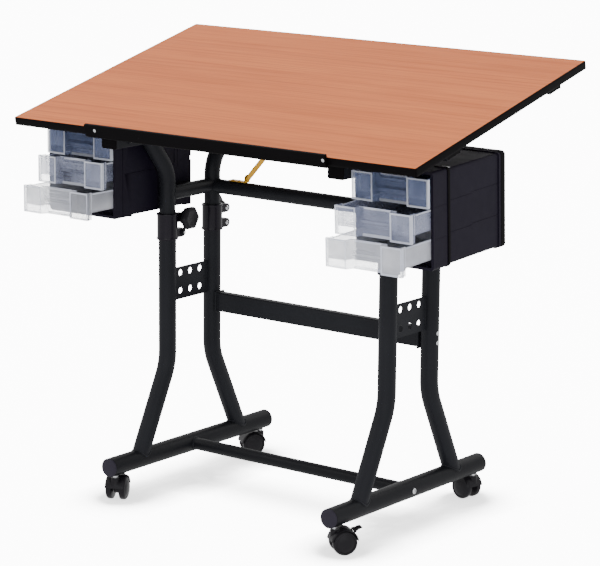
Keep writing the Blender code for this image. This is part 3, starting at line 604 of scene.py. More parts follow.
def skin(bm, rings, closed=False):
    """Quads between rings of points, each ring closed on itself."""
    loops = [[bm.verts.new(p) for p in points] for points in rings]
    pairs = list(zip(loops, loops[1:]))
    if closed:
        pairs.append((loops[-1], loops[0]))
    for near, far in pairs:
        count = len(near)
        for i in range(count):
            j = (i + 1) % count
            bm.faces.new((near[i], near[j], far[j], far[i]))
    return loops


def solid_of(rings):
    """A solid from rings of points. A ring of one point closes an end."""
    bm = bmesh.new()
    loops = [[bm.verts.new(p) for p in points] for points in rings]
    for near, far in zip(loops, loops[1:]):
        count = max(len(near), len(far))
        for i in range(count):
            j = (i + 1) % count
            if len(near) == 1:
                bm.faces.new((near[0], far[j], far[i]))
            elif len(far) == 1:
                bm.faces.new((near[i], near[j], far[0]))
            else:
                bm.faces.new((near[i], near[j], far[j], far[i]))
    return bm


def tube_cope(tube_axis, tube_r):
    """How far back along a bar its surface line meets a round tube through the bar's end."""
    def reach(_, back, offset):
        w = offset - tube_axis * offset.dot(tube_axis)
        v = back - tube_axis * back.dot(tube_axis)
        spread = w.dot(v) ** 2 - v.dot(v) * (w.dot(w) - tube_r ** 2)
        return (-w.dot(v) + math.sqrt(max(spread, 0.0))) / v.dot(v)

    return reach


def level_cope(height):
    """How far back along a bar its surface line meets a level plane."""
    return lambda here, back, offset: (height - here.z - offset.z) / back.z


def sweep_bm(path, radius, hint=ACROSS, segments=40, start=None, end=None, bore=0.0, beads=None):
    """A round bar or tube along a path. start and end say how an end is coped, as a function of
    (axis point, direction back along the bar, offset of the surface line). The outlines of the
    coped ends are added to beads."""
    path = [Vector(p) for p in path]
    last = len(path) - 1
    copes = {0: start, last: end}

    def ring_at(index, r):
        here = path[index]
        ahead = (path[min(index + 1, last)] - path[max(index - 1, 0)]).normalized()
        first = (hint - ahead * hint.dot(ahead)).normalized()
        points = ring(here, first, ahead.cross(first), r, segments)
        cope = copes.get(index)
        if not cope:
            return points
        back = ahead if index == 0 else -ahead
        return [p + back * cope(here, back, p - here) for p in points]

    bm = bmesh.new()
    outer = [ring_at(i, radius) for i in range(last + 1)]
    if bore:
        inner = [ring_at(i, bore) for i in range(last, -1, -1)]
        skin(bm, outer + inner, closed=True)
    else:
        loops = skin(bm, outer)
        close_end(bm, loops[0])
        close_end(bm, loops[-1])
    if beads is not None:
        beads += [outer[index] for index, cope in copes.items() if cope]
    return bm


def close_end(bm, loop):
    hub = bm.verts.new(sum((vert.co for vert in loop), Vector()) / len(loop))
    for i, vert in enumerate(loop):
        bm.faces.new((vert, loop[(i + 1) % len(loop)], hub))


def bead_bm(points, radius, ripples, closed=True):
    """A weld bead that follows a line of points, with the ripple of the welder's hand."""
    points = [Vector(p) for p in points]
    count = len(points)
    middle = sum(points, Vector()) / count
    rings = []
    for i, here in enumerate(points):
        before = points[(i - 1) % count] if closed or i else here
        after = points[(i + 1) % count] if closed or i < count - 1 else here
        ahead = (after - before).normalized()
        out = here - middle
        first = (out - ahead * out.dot(ahead)).normalized() if closed else ahead.orthogonal().normalized()
        swell = radius * (1.0 + 0.16 * math.sin(FULL_TURN * ripples * i / count))
        if not closed and i in (0, count - 1):
            swell = radius * 0.35
        rings.append(ring(here, first, ahead.cross(first), swell, 8))
    bm = bmesh.new()
    loops = skin(bm, rings, closed=closed)
    if not closed:
        bm.faces.new(loops[0])
        bm.faces.new(loops[-1])
    return bm


def densified(points, step):
    """A closed line of points with none further apart than about the step."""
    result = []
    points = [Vector(p) for p in points]
    for here, after in zip(points, points[1:] + points[:1]):
        length = (after - here).length
        if length > 1e-7:
            count = max(1, int(length / step))
            result += [here.lerp(after, i / count) for i in range(count)]
    return result


def lathe_bm(profile, place, axis, segments=48):
    """A solid of revolution. The profile is (distance along the axis, radius); radius 0 closes an end."""
    place, axis = Vector(place), Vector(axis).normalized()
    first = axis.orthogonal().normalized()
    second = axis.cross(first)
    rings = []
    for along, radius in profile:
        centre = place + axis * along
        rings.append(ring(centre, first, second, radius, segments) if radius > 0 else [centre])
    return solid_of(rings)


def rod_bm(start, end, radius, segments=32):
    start, end = Vector(start), Vector(end)
    length = (end - start).length
    return lathe_bm([(0, 0), (0, radius), (length, radius), (length, 0)], start, end - start, segments)


def prism_bm(outline, low, high, axis="X"):
    """Extrude an outline along X (drawn in Y, Z) or along Z (drawn in X, Y)."""
    def at(point, along):
        return (along, *point) if axis == "X" else (*point, along)

    bm = bmesh.new()
    near = [bm.verts.new(at(p, low)) for p in outline]
    far = [bm.verts.new(at(p, high)) for p in outline]
    bm.faces.new(near)
    bm.faces.new(far)
    for i in range(len(outline)):
        j = (i + 1) % len(outline)
        bm.faces.new((near[i], near[j], far[j], far[i]))
    return bm


def prism_along_y(outline, first, second):
    """Extrude an outline drawn in X and Z between two places along Y."""
    bm = prism_bm(outline, -max(first, second), -min(first, second), axis="Z")
    return turned(bm, Matrix.Rotation(QUARTER, 4, "X"))


def arc(centre, radius, start, stop, count):
    steps = [start + (stop - start) * i / count for i in range(count + 1)]
    return [(centre[0] + radius * math.cos(a), centre[1] + radius * math.sin(a)) for a in steps]


def rounded_rect(low, high, radius, count=6):
    """Outline of a rectangle with rounded corners, anticlockwise."""
    left, right = low[0] + radius, high[0] - radius
    bottom, top = low[1] + radius, high[1] - radius
    outline = []
    for turn, centre in enumerate(((right, top), (left, top), (left, bottom), (right, bottom))):
        outline += arc(centre, radius, turn * QUARTER, (turn + 1) * QUARTER, count)
    return outline


def dome_bm(place, axis, radius, height):
    """A plain pan head, sitting on a face at place, pointing along axis."""
    profile = [(-0.001, 0), (-0.001, radius * 0.55), (0, radius * 0.98), (height * 0.25, radius),
               (height * 0.6, radius * 0.86), (height * 0.9, radius * 0.55), (height, 0)]
    return lathe_bm(profile, place, axis, 28)


def pan_head_bm(place, axis, radius, height):
    """A pan head with a cross recess."""
    axis = Vector(axis).normalized()
    first = axis.orthogonal().normalized()
    seat = Matrix((first, axis.cross(first), axis)).transposed().to_4x4()
    seat.translation = Vector(place)
    slots = []
    for x, y in ((radius * 0.62, radius * 0.13), (radius * 0.13, radius * 0.62)):
        slots.append(turned(box_bm((-x, -y, height * 0.45), (x, y, height * 1.5)), seat))
    return carved(dome_bm(place, axis, radius, height), slots)


def hex_nut_bm(place, axis, radius, height):
    """A hexagon nut with chamfered corners on its washer."""
    washer = [(0, 0), (0, radius * 1.25), (height * 0.22, radius * 1.25), (height * 0.24, 0)]
    nut = [(height * 0.2, 0), (height * 0.2, radius), (height * 0.88, radius), (height, radius * 0.8),
           (height, 0)]
    return merged(lathe_bm(washer, place, axis, 32), lathe_bm(nut, place, axis, 6))


# ---- base -----------------------------------------------------------------------
def floor_tubes():
    for side, sx in SIDES.items():
        node = f"floor_tube_{side}"
        low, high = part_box(node)
        path = [(sx * LEG_X, y, FLOOR_TUBE_Z) for y in (low.y, high.y)]
        tube = sweep_bm(path, FLOOR_TUBE_R, segments=56, bore=FLOOR_TUBE_R - FLOOR_TUBE_WALL)
        # darker copy of the powder coat: painted shade
        piece(f"runner_{side}", tube, SHADED_POWDER, node)
        for end, sy in ENDS.items():
            end_cap(f"end_cap_{end}_{side}", sy)


def end_cap(node, sy):
    """A moulded plug: a rounded head against the tube's end, with its shank inside."""
    head, r = 0.006, FLOOR_TUBE_R
    low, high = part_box(node)
    face = high.y - head if sy > 0 else low.y + head
    profile = [(-0.015, 0), (-0.015, r - 0.0030), (0.0, r - 0.0022), (0.0, r - 0.0006), (0.0006, r),
               (0.0026, r), (0.0042, r - 0.0012), (0.0054, r - 0.0042), (head, r - 0.0085), (head, 0)]
    plug = lathe_bm(profile, (middle_of(node).x, face, FLOOR_TUBE_Z), (0, sy, 0), 56)
    piece(node + "_plug", plug, CAP_BLACK, node, crisp=False)


def lower_uprights(beads):
    splay = math.atan2(LOWER_FOOT_Y - LEG_Y, LOWER_CORNER_Z - FLOOR_TUBE_Z)
    bend_z = LOWER_CORNER_Z + LOWER_BEND_R * math.tan(splay / 2)
    bend = arc((LEG_Y + LOWER_BEND_R, bend_z), LOWER_BEND_R, math.pi, math.pi + splay, 14)
    profile = [(LEG_Y, LOWER_TOP_Z), *bend, (LOWER_FOOT_Y, FLOOR_TUBE_Z)]
    cope = tube_cope(ALONG, FLOOR_TUBE_R)
    for corner, sx, sy in CORNERS:
        path = [(sx * LEG_X, MID_Y + sy * y, z) for y, z in profile]
        tube = sweep_bm(path, LOWER_R, segments=48, end=cope, bore=LOWER_BORE_R, beads=beads)
        piece(f"leg_{corner}", tube, POWDER, f"lower_upright_{corner}")


def web_plates():
    margin, steps = 0.004, 40
    for side in SIDES:
        node = f"web_plate_{side}"
        low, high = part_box(node)
        holes = [rod_bm((low.x - PAST, MID_Y + y, z), (high.x + PAST, MID_Y + y, z), PLATE_HOLE_R, 28)
                 for y in PLATE_HOLE_Y for z in PLATE_HOLE_Z]
        piece(f"gusset_{side}", carved(box_bm(low, high), holes), POWDER, node, edge=0.0005)
        rise = high.z - low.z - 2 * margin
        heights = [low.z + margin + rise * i / steps for i in range(steps + 1)]
        lines = [[(middle_of(node).x, y, z) for z in heights] for y in (low.y, high.y)]
        beads = [bead_bm(line, 0.0022, 13, closed=False) for line in lines]
        piece(f"gusset_welds_{side}", merged(*beads), POWDER, body="base", crisp=False)


def sleeve_bm(x, y, low_z, high_z):
    """A turned sleeve with a raised lip at both ends."""
    lip, chamfer, r, bore = 0.004, 0.0008, COLLAR_R, LOWER_R + GAP
    waist = r - 0.0011
    profile = [(low_z, bore), (low_z, r - chamfer), (low_z + chamfer, r), (low_z + lip, r),
               (low_z + lip + 0.0010, waist), (high_z - lip - 0.0010, waist), (high_z - lip, r),
               (high_z - chamfer, r), (high_z, r - chamfer), (high_z, bore), (low_z, bore)]
    sleeve = lathe_bm(profile, (x, y, 0), UP, 56)
    bmesh.ops.remove_doubles(sleeve, verts=sleeve.verts, dist=0.000001)
    return sleeve


def ear_bm(x, y, z):
    root_y = y + COLLAR_R - 0.003
    nose = arc((y + EAR_REACH - EAR_R, z), EAR_R, -QUARTER, QUARTER, 14)
    return prism_bm(nose + [(root_y, z + EAR_R), (root_y, z - EAR_R)], x - EAR_HALF_X, x + EAR_HALF_X)


def collars():
    """Split clamp sleeves with two ears, the upper for a knob's screw and the lower for a bolt."""
    beyond = 0.02
    for corner, sx, sy in CORNERS:
        node = f"collar_{corner}"
        low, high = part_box(node)
        x, y = sx * LEG_X, MID_Y + sy * LEG_Y
        sleeve = joined(sleeve_bm(x, y, low.z, high.z), *[ear_bm(x, y, z) for z in EAR_Z])
        clear = rod_bm((x, y, low.z - PAST), (x, y, high.z + PAST), LOWER_R + GAP, 56)
        slit = box_bm((x - SLIT_HALF_X, y + COLLAR_R * 0.5, low.z - PAST),
                      (x + SLIT_HALF_X, y + EAR_REACH + PAST, high.z + PAST))
        holes = [rod_bm((x - beyond, y + KNOB_Y, z), (x + beyond, y + KNOB_Y, z), EAR_HOLE_R, 24)
                 for z in EAR_Z]
        sleeve = carved(sleeve, [clear, slit, *holes])
        piece(f"clamp_sleeve_{corner}", sleeve, COLLAR_BLACK, node, edge=0.0006, angle=50)
        lower_bolt(f"sleeve_bolt_{corner}", Vector((x, y + KNOB_Y, EAR_Z[1])), ACROSS * sx * sy)


def lower_bolt(name, place, way):
    """A black nut on the knob's side of the ear and a bright cross-head screw on the other."""
    nut = hex_nut_bm(place + way * EAR_HALF_X, way, 0.0062, 0.0046)
    piece(name + "_nut", nut, POWDER, body="base", edge=0.0003, segments=1)
    head = pan_head_bm(place - way * EAR_HALF_X, -way, 0.0046, 0.0026)
    shank = rod_bm(place - way * EAR_HALF_X, place + way * (EAR_HALF_X + 0.0058), 0.0028, 20)
    piece(name, merged(head, shank), STEEL, body="base")


def knobs():
    """Clamp knobs with a dished face, a moulded neck, and a screw right through the ear."""
    near, far = KNOB_NECK, KNOB_NECK + KNOB_HEAD
    head = [(near, 0.0), (near, 0.62), (near + 0.0006, 0.86), (near + 0.0028, 0.985), (near + 0.0055, 1.0),
            (far - 0.0062, 1.0), (far - 0.0032, 0.965), (far - 0.0012, 0.87), (far - 0.0004, 0.74),
            (far - 0.0004, 0.62), (far - 0.0014, 0.56), (far - 0.0016, 0.0)]
    hub = [(0, 0), (0, 0.0126), (0.0008, 0.0140), (near - 0.0050, 0.0148), (near - 0.0016, 0.0172),
           (near + 0.0012, 0.0212), (near + 0.0012, 0)]
    for corner, sx, sy in CORNERS:
        node = f"clamp_knob_{corner}"
        way = ACROSS * sx * sy
        middle = Vector((sx * LEG_X, MID_Y + sy * LEG_Y + KNOB_Y, EAR_Z[0]))
        face, outer = middle + way * (EAR_HALF_X + GAP), middle - way * EAR_HALF_X
        moulding = merged(lobed_bm(head, face, way), lathe_bm(hub, face, way, 40))
        piece(f"knob_{corner}", moulding, KNOB_BLACK, node, crisp=False)
        shank = rod_bm(outer, face + way * 0.001, 0.0034, 24)
        screw_head = pan_head_bm(outer, -way, 0.0050, 0.0030)
        piece(f"knob_screw_{corner}", merged(shank, screw_head), STEEL, body=BODY_OF[node])


def lobed_bm(profile, place, way):
    """A knob head, six-sided with softened corners. The profile is (distance along the way,
    share of the radius); share 0 closes an end."""
    segments, side = 96, math.pi / 3
    rings = []
    for along, share in profile:
        centre = place + way * along
        points = []
        for i in range(segments):
            angle = FULL_TURN * i / segments
            swell = KNOB_R * min(KNOB_CORNER, KNOB_FLAT / math.cos(angle % side - side / 2))
            points.append(centre + (ALONG * math.cos(angle) + UP * math.sin(angle)) * swell * share)
        rings.append(points if share > 0 else [centre])
    return solid_of(rings)


def stretcher():
    """The rectangular bar between the web plates, welded to a screwed flange at each end."""
    low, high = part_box("mid_bar")
    y, z = middle_of("mid_bar").y, middle_of("mid_bar").z
    half_y, half_z = MID_BAR_HALF
    section = ((y - half_y, z - half_z), (y + half_y, z + half_z), 0.003)
    tube = prism_bm(rounded_rect(*section), low.x + FLANGE_THICK, high.x - FLANGE_THICK)
    piece("stretcher", tube, POWDER, "mid_bar")
    for side, sx in SIDES.items():
        outer = sx * high.x
        inner = outer - sx * FLANGE_THICK
        flange = box_bm((outer, y - FLANGE_HALF_Y, low.z), (inner, y + FLANGE_HALF_Y, high.z))
        piece(f"stretcher_flange_{side}", flange, POWDER, body="base", edge=0.0012, segments=3)
        seam = [(inner, *point) for point in rounded_rect(*section, count=10)]
        weld = bead_bm(densified(seam, 0.0015), 0.0018, 44)
        piece(f"stretcher_weld_{side}", weld, POWDER, body="base", crisp=False)
        face = sx * (LEG_X + LOWER_R - 0.0002)
        heads = [pan_head_bm((face, y, height), (sx, 0, 0), 0.0042, 0.0024) for height in MID_SCREW_Z]
        piece(f"stretcher_screws_{side}", merged(*heads), STEEL, body="base")


def floor_stretcher(beads):
    path = [(-LEG_X, MID_Y, FLOOR_TUBE_Z), (LEG_X, MID_Y, FLOOR_TUBE_Z)]
    cope = tube_cope(ALONG, FLOOR_TUBE_R + GAP)
    tube = sweep_bm(path, size_of("low_bar").z / 2, hint=UP, start=cope, end=cope, beads=beads)
    # darker copy of the powder coat: painted shade
    piece("floor_stretcher", tube, SHADED_POWDER, "low_bar")
    for side, sx in SIDES.items():
        place = (sx * (LEG_X + FLOOR_TUBE_R - 0.0003), MID_Y, FLOOR_TUBE_Z)
        bolt = pan_head_bm(place, (sx, 0, 0), 0.0060, 0.0034)
        piece(f"floor_stretcher_bolt_{side}", bolt, STEEL, body="base")


def welds(name, loops, body):
    beads = [bead_bm(densified(loop, 0.0016), 0.0021, 40) for loop in loops]
    piece(name, merged(*beads), POWDER, body=body, crisp=False)


# ---- casters --------------------------------------------------------------------
# Each is drawn about its wheels' centre, with the axle along X and the trail along +Y.
def casters():
    for corner, _, sy in CORNERS:
        axle = Vector(JOINTS[f"wheel_roll_{corner}"]["axis"]).normalized()
        centre = Vector(JOINTS[f"wheel_roll_{corner}"]["pos_m"])
        swivel = Vector(JOINTS[f"caster_swivel_{corner}"]["pos_m"])
        back = UP.cross(axle)
        if (centre - swivel).dot(back) < 0:
            axle, back = -axle, -back
        placed = Matrix((axle, back, UP)).transposed().to_4x4()
        placed.translation = centre
        stem_place = (0, -(centre - swivel).xy.length, 0)
        wheels(corner, placed)
        hood(corner, placed, stem_place, has_brake=sy < 0)
        caster_stem(corner, placed, stem_place, swivel.z - WHEEL_R)
        if sy < 0:
            brake(corner, placed)


def wheels(corner, placed):
    """Twin wheels with a crowned tread and a dished, capped outer face."""
    inner, outer, r = WHEEL_INNER, WHEEL_OUTER, WHEEL_R
    profile = [(inner, 0), (inner, r - 0.0022), (inner + 0.0008, r - 0.0006), (inner + 0.0030, r),
               (inner + 0.0080, r), (inner + 0.0100, r - 0.0004), (inner + 0.0118, r - 0.0018),
               (inner + 0.0128, r - 0.0036), (inner + 0.0131, r - 0.0050), (inner + 0.0122, r - 0.0056),
               (inner + 0.0124, r - 0.0066), (inner + 0.0140, 0.0150), (inner + 0.0152, 0.0105),
               (outer - 0.0001, 0.0062), (outer, 0.0030), (outer, 0)]
    pair = [lathe_bm(profile, (0, 0, 0), (sx, 0, 0), 64) for sx in HANDS]
    axle = rod_bm((-inner * 1.2, 0, 0), (inner * 1.2, 0, 0), 0.004, 28)
    twin = turned(merged(*pair, axle), placed)
    piece(f"caster_twin_wheel_{corner}", twin, CASTER_BLACK, f"caster_wheels_{corner}", crisp=False)


def hood(corner, placed, stem_place, has_brake):
    """A moulded hood over both wheels, with a rounded crown, a web between them and a boss."""
    half, r, beyond = HOOD_HALF_X, HOOD_R, 0.05
    crown = [(-half, 0), (-half, r - 0.0062), (-half + 0.0008, r - 0.0030), (-half + 0.0028, r - 0.0009),
             (-half + 0.0060, r), (half - 0.0060, r), (half - 0.0028, r - 0.0009),
             (half - 0.0008, r - 0.0030), (half, r - 0.0062), (half, 0)]
    bores = [rod_bm((sx * HOOD_WEB_HALF_X, 0, 0), (sx * beyond, 0, 0), HOOD_BORE_R, 64) for sx in HANDS]
    below = box_bm((-beyond, -beyond, HOOD_SKIRT_Z - beyond), (beyond, beyond, HOOD_SKIRT_Z))
    shell = carved(lathe_bm(crown, (0, 0, 0), ACROSS, 72), [*bores, below])
    boss = [(0.0080, 0), (0.0080, 0.0090), (0.0250, 0.0090), (0.0262, 0.0080), (0.0262, 0)]
    web = rod_bm((-HOOD_WEB_HALF_X, 0, 0), (HOOD_WEB_HALF_X, 0, 0), 0.012, 40)
    added = [lathe_bm(boss, stem_place, UP, 40), web]
    if has_brake:
        added += [rod_bm((sx * 0.0087, *BRAKE_PIVOT), (sx * 0.0112, *BRAKE_PIVOT), 0.0027, 28)
                  for sx in HANDS]
    axle = rod_bm((-0.03, 0, 0), (0.03, 0, 0), 0.0043, 28)
    shell = turned(carved(joined(shell, *added), [axle]), placed)
    piece(f"caster_cover_{corner}", shell, CASTER_BLACK, f"caster_hood_{corner}", edge=0.0005, angle=40)


def caster_stem(corner, placed, stem_place, top_z):
    profile = [(0.0255, 0), (0.0255, 0.0045), (top_z - 0.0012, 0.0045), (top_z - 0.0012, 0.0072),
               (top_z, 0.0072), (top_z, 0)]
    stem = turned(lathe_bm(profile, stem_place, UP, 32), placed)
    piece(f"caster_stem_{corner}", stem, STEEL, body=BODY_OF[f"caster_hood_{corner}"])


def brake(corner, placed):
    """A foot tab that hangs on the hood's lugs and reaches back over the wheels."""
    outline = [(0.0206, 0.0231), BRAKE_PIVOT, (0.0243, 0.0196), (0.0300, 0.0236), (0.0340, 0.0254),
               (0.0375, 0.0262), (0.0376, 0.0274), (0.0370, 0.0284), (0.0330, 0.0278),
               (0.0290, 0.0266), (0.0230, 0.0250)]
    tab = prism_bm(outline, -BRAKE_HALF_X, BRAKE_HALF_X)
    ribs = [box_bm((x - 0.0006, 0.0290, 0.0255), (x + 0.0006, 0.0365, 0.0287))
            for x in (-0.0048, -0.0016, 0.0016, 0.0048)]
    knuckle = rod_bm((-0.0084, *BRAKE_PIVOT), (0.0084, *BRAKE_PIVOT), 0.0022, 28)
    tab = turned(joined(tab, *ribs, knuckle), placed)
    piece(f"brake_tab_{corner}", tab, CASTER_BLACK, f"brake_lever_{corner}", edge=0.0004, angle=30)


# ---- upper frame ----------------------------------------------------------------
def upper_uprights(beads):
    bend = arc((LEG_Y + UPPER_BEND_R, UPPER_BEND_Z), UPPER_BEND_R, math.pi, math.pi - UPPER_SPLAY, 16)
    last_y, last_z = bend[-1]
    tip = (last_y + UPPER_RUN * math.sin(UPPER_SPLAY), last_z + UPPER_RUN * math.cos(UPPER_SPLAY))
    profile = [(LEG_Y, UPPER_END_Z), *bend, tip]
    cope = level_cope(UPPER_SEAT_Z)
    for corner, sx, sy in CORNERS:
        path = [(sx * LEG_X, MID_Y + sy * y, z) for y, z in profile]
        tube = sweep_bm(path, UPPER_R, segments=44, end=cope, bore=UPPER_BORE_R, beads=beads)
        piece(f"post_{corner}", tube, POWDER, f"upper_upright_{corner}")


def upper_bars(beads):
    r = size_of("link_tube_left").x / 2 * 0.985
    z = middle_of("link_tube_left").z
    cope = tube_cope(UP, UPPER_R)
    for side, sx in SIDES.items():
        path = [(sx * LEG_X, MID_Y + sy * LEG_Y, z) for sy in HANDS]
        tube = sweep_bm(path, r, start=cope, end=cope, beads=beads)
        piece(f"post_link_{side}", tube, POWDER, f"link_tube_{side}")
    middle = middle_of("crossbar")
    path = [(sx * LEG_X, middle.y, middle.z) for sx in HANDS]
    tube = sweep_bm(path, size_of("crossbar").y / 2, hint=UP, start=cope, end=cope, beads=beads)
    piece("crosstube", tube, POWDER, "crossbar")


def side_rails():
    """Rectangular tubes with rounded corners and a moulded plug in each end."""
    plug, shank_reach, wall, slack = 0.0022, 0.014, 0.002, 0.0002
    pin = JOINTS["top_tilt"]["pos_m"][1:]

    def bar(low, high, inset, radius, y_first, y_second):
        corners = (low.x + inset, low.z + inset), (high.x - inset, high.z - inset)
        return prism_along_y(rounded_rect(*corners, radius, 8), y_first, y_second)

    for side in SIDES:
        node = f"side_rail_{side}"
        low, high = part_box(node)
        hole = rod_bm((low.x - PAST, *pin), (high.x + PAST, *pin), 0.0043, 28)
        outer = bar(low, high, 0, 0.004, low.y + plug, high.y - plug)
        inner = bar(low, high, wall, 0.002, low.y - PAST, high.y + PAST)
        piece(f"rail_{side}", carved(outer, [inner, hole]), POWDER, node)
        for end, y, sy in (("front", low.y, -1), ("rear", high.y, 1)):
            head = bar(low, high, 0, 0.004, y, y - sy * plug)
            shank = bar(low, high, wall + slack, 0.002, y - sy * plug, y - sy * shank_reach)
            piece(f"rail_plug_{end}_{side}", merged(head, shank), EDGE_BLACK, body="upper_frame",
                  edge=0.0007, segments=3, angle=50)


# ---- drawer housings ------------------------------------------------------------
class Case:
    """A drawer housing as it would be untilted: its outline without the bands, and the turn that
    tilts it. Inner and outer are distances from the frame's middle."""

    def __init__(self, side):
        low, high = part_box("housing_left")
        self.side, self.sx = side, SIDES[side]
        self.inner, self.front, self.bottom = Vector((abs(high.x), low.y, low.z + BAND_OUT))
        self.outer, self.back, self.top = Vector((abs(low.x) - BAND_OUT, high.y, high.z - BAND_OUT))
        self.panel_front, self.panel_back = low.y + BEZEL_DEPTH, high.y - REAR_BAND_DEPTH
        axis = Vector(JOINTS[f"drawer_slide_top_{side}"]["axis"])
        self.turn = about(middle_of(f"housing_{side}"), math.atan2(-axis.z, -axis.y))

    def box(self, first, second):
        return box_bm((self.sx * first[0], *first[1:]), (self.sx * second[0], *second[1:]))

    def slab(self, grow, y_low, y_high, radius, inward=0.0):
        """A slab of the outline in X and Z, its two outer corners rounded."""
        near, far = self.inner - inward, self.outer + grow - radius
        top, bottom = self.top + grow, self.bottom - grow
        upper = arc((far, top - radius), radius, QUARTER, 0, 6)
        lower = arc((far, bottom + radius), radius, 0, -QUARTER, 6)
        outline = [(near, top), *upper, *lower, (near, bottom)]
        return prism_along_y([(self.sx * x, z) for x, z in outline], y_low, y_high)

    def piece(self, name, bm, look, **settings):
        piece(f"{name}_{self.side}", turned(bm, self.turn), look, **settings)


def housings():
    for side in SIDES:
        case = Case(side)
        shell = case.slab(0.0, case.front + 0.002, case.back - 0.002, 0.006)
        bezel = case.slab(BAND_OUT, case.front, case.panel_front, 0.0075)
        rear = case.slab(BAND_OUT, case.panel_back, case.back, 0.0075)
        shell = carved(joined(shell, bezel, rear), inner_side_cuts(case))
        shell = carved(shell, bay_cuts(case) + outer_side_cuts(case))
        case.piece("drawer_case", shell, HOUSING_BLACK, node=f"housing_{side}", edge=0.0006, angle=45)
        case_feet(case)
        case_strap(case)
        case_bands(case)


def bay_cuts(case):
    """Cutters for the drawer bays, and for the mouth in front of the shelves between them."""
    near, far = case.inner + HOUSING_WALL, case.outer - HOUSING_WALL
    cuts = []
    for level in DRAWER_LEVEL.values():
        base = case.bottom + DRAWER_RISE + level * DRAWER_PITCH + BODY_RAISE - GAP
        roof = case.top - HOUSING_WALL if level == 2 else base + DRAWER_PITCH - SHELF_THICK
        cuts.append(case.box((near, case.front - PAST, base), (far, case.back - HOUSING_WALL, roof)))
    cuts.append(case.box((near, case.front - PAST, case.bottom + HOUSING_WALL),
                         (far, case.front + SHELF_SETBACK, case.top - HOUSING_WALL)))
    return cuts


def outer_side_cuts(case):
    """Cutters for the panel lines of the outer side, the joints across the bezel, the groove
    behind it and the line near its rear edge."""
    front, back, face = case.panel_front, case.panel_back, case.outer
    band = face + BAND_OUT
    step = front + (back - front) * 0.46
    cuts = []
    for share in (1 / 3, 2 / 3):
        z = case.bottom + (case.top - case.bottom) * share
        cuts.append(case.box((face - 0.0007, front + 0.004, z), (face + 0.003, step, z + 0.0012)))
        cuts.append(case.box((face - 0.0007, step, z + 0.003), (face + 0.003, back, z + 0.0042)))
        cuts.append(case.box((band - 0.0006, case.front + 0.006, z - 0.004),
                             (band + 0.003, front - 0.012, z - 0.0028)))
    low_z, high_z = case.bottom - PAST, case.top + PAST
    cuts.append(case.box((face - 0.0022, front, low_z), (face + 0.004, front + 0.0052, high_z)))
    cuts.append(case.box((band - 0.0008, front - 0.0085, low_z), (face + 0.006, front - 0.0070, high_z)))
    return cuts


def inner_side_cuts(case):
    """Cutters for the mould lines of the side towards the frame: a line behind the front band, a
    seam at half height, a line and a notch near the rear, and a shallow panel."""
    span, height, line = case.back - case.front, case.top - case.bottom, 0.0014

    def groove(y_share, y_width, z_share, z_width):
        y, z = case.front + span * y_share, case.bottom + height * z_share
        return case.box((case.inner - PAST, y, z), (case.inner + 0.0009, y + y_width, z + z_width))

    front = groove(0.10, line * 1.6, -0.1, height * 1.2)
    seam = groove(0.13, span * 0.66, 0.47, line)
    rear = groove(0.815, line, 0.44, height)
    panel = groove(0.56, span * 0.22, 0.50, height * 0.46)
    notch = case.box((case.inner - PAST, case.back - 0.006, case.bottom + height * 0.50),
                     (case.inner + 0.0025, case.back + PAST, case.bottom + height * 0.545))
    return [front, seam, rear, notch, panel]


def case_feet(case):
    profile = [(-0.0002, 0), (-0.0002, 0.0055), (0.0014, 0.0052), (0.0020, 0.0040), (0.0020, 0)]
    x, z = case.sx * (case.outer - 0.012), case.bottom - BAND_OUT
    feet = [lathe_bm(profile, (x, y, z), -UP, 28) for y in (case.back - 0.016, case.front + 0.012)]
    case.piece("case_feet", merged(*feet), CAP_BLACK, body="upper_frame")


def case_strap(case):
    """The end of the steel strap that hangs the housing, lying over its upper outer edge."""
    y, z = case.panel_front + 0.004, case.top
    flat = case.box((case.outer - 0.022, y, z + 0.0001), (case.outer - 0.004, y + 0.008, z + 0.0011))
    case.piece("case_strap", flat, STEEL, body="upper_frame", edge=0.0004)


def case_bands(case):
    """The dark lip round the back of the front band, and the dark band at the rear. Both run over
    the top, down the outer side and below."""
    lip = (BAND_OUT + 0.0014, case.panel_front - 0.0062, case.panel_front + 0.0010, 0.0090)
    rear = (BAND_OUT + 0.0006, case.back - 0.0150, case.back - 0.0006, 0.0080)
    for name, section, edge in (("case_lip", lip, 0.0005), ("case_rear_band", rear, 0.0008)):
        hollow = case.slab(-0.0008, section[1] - PAST, section[2] + PAST, 0.0065, inward=PAST)
        case.piece(name, carved(case.slab(*section), [hollow]), EDGE_BLACK, body="upper_frame", edge=edge)


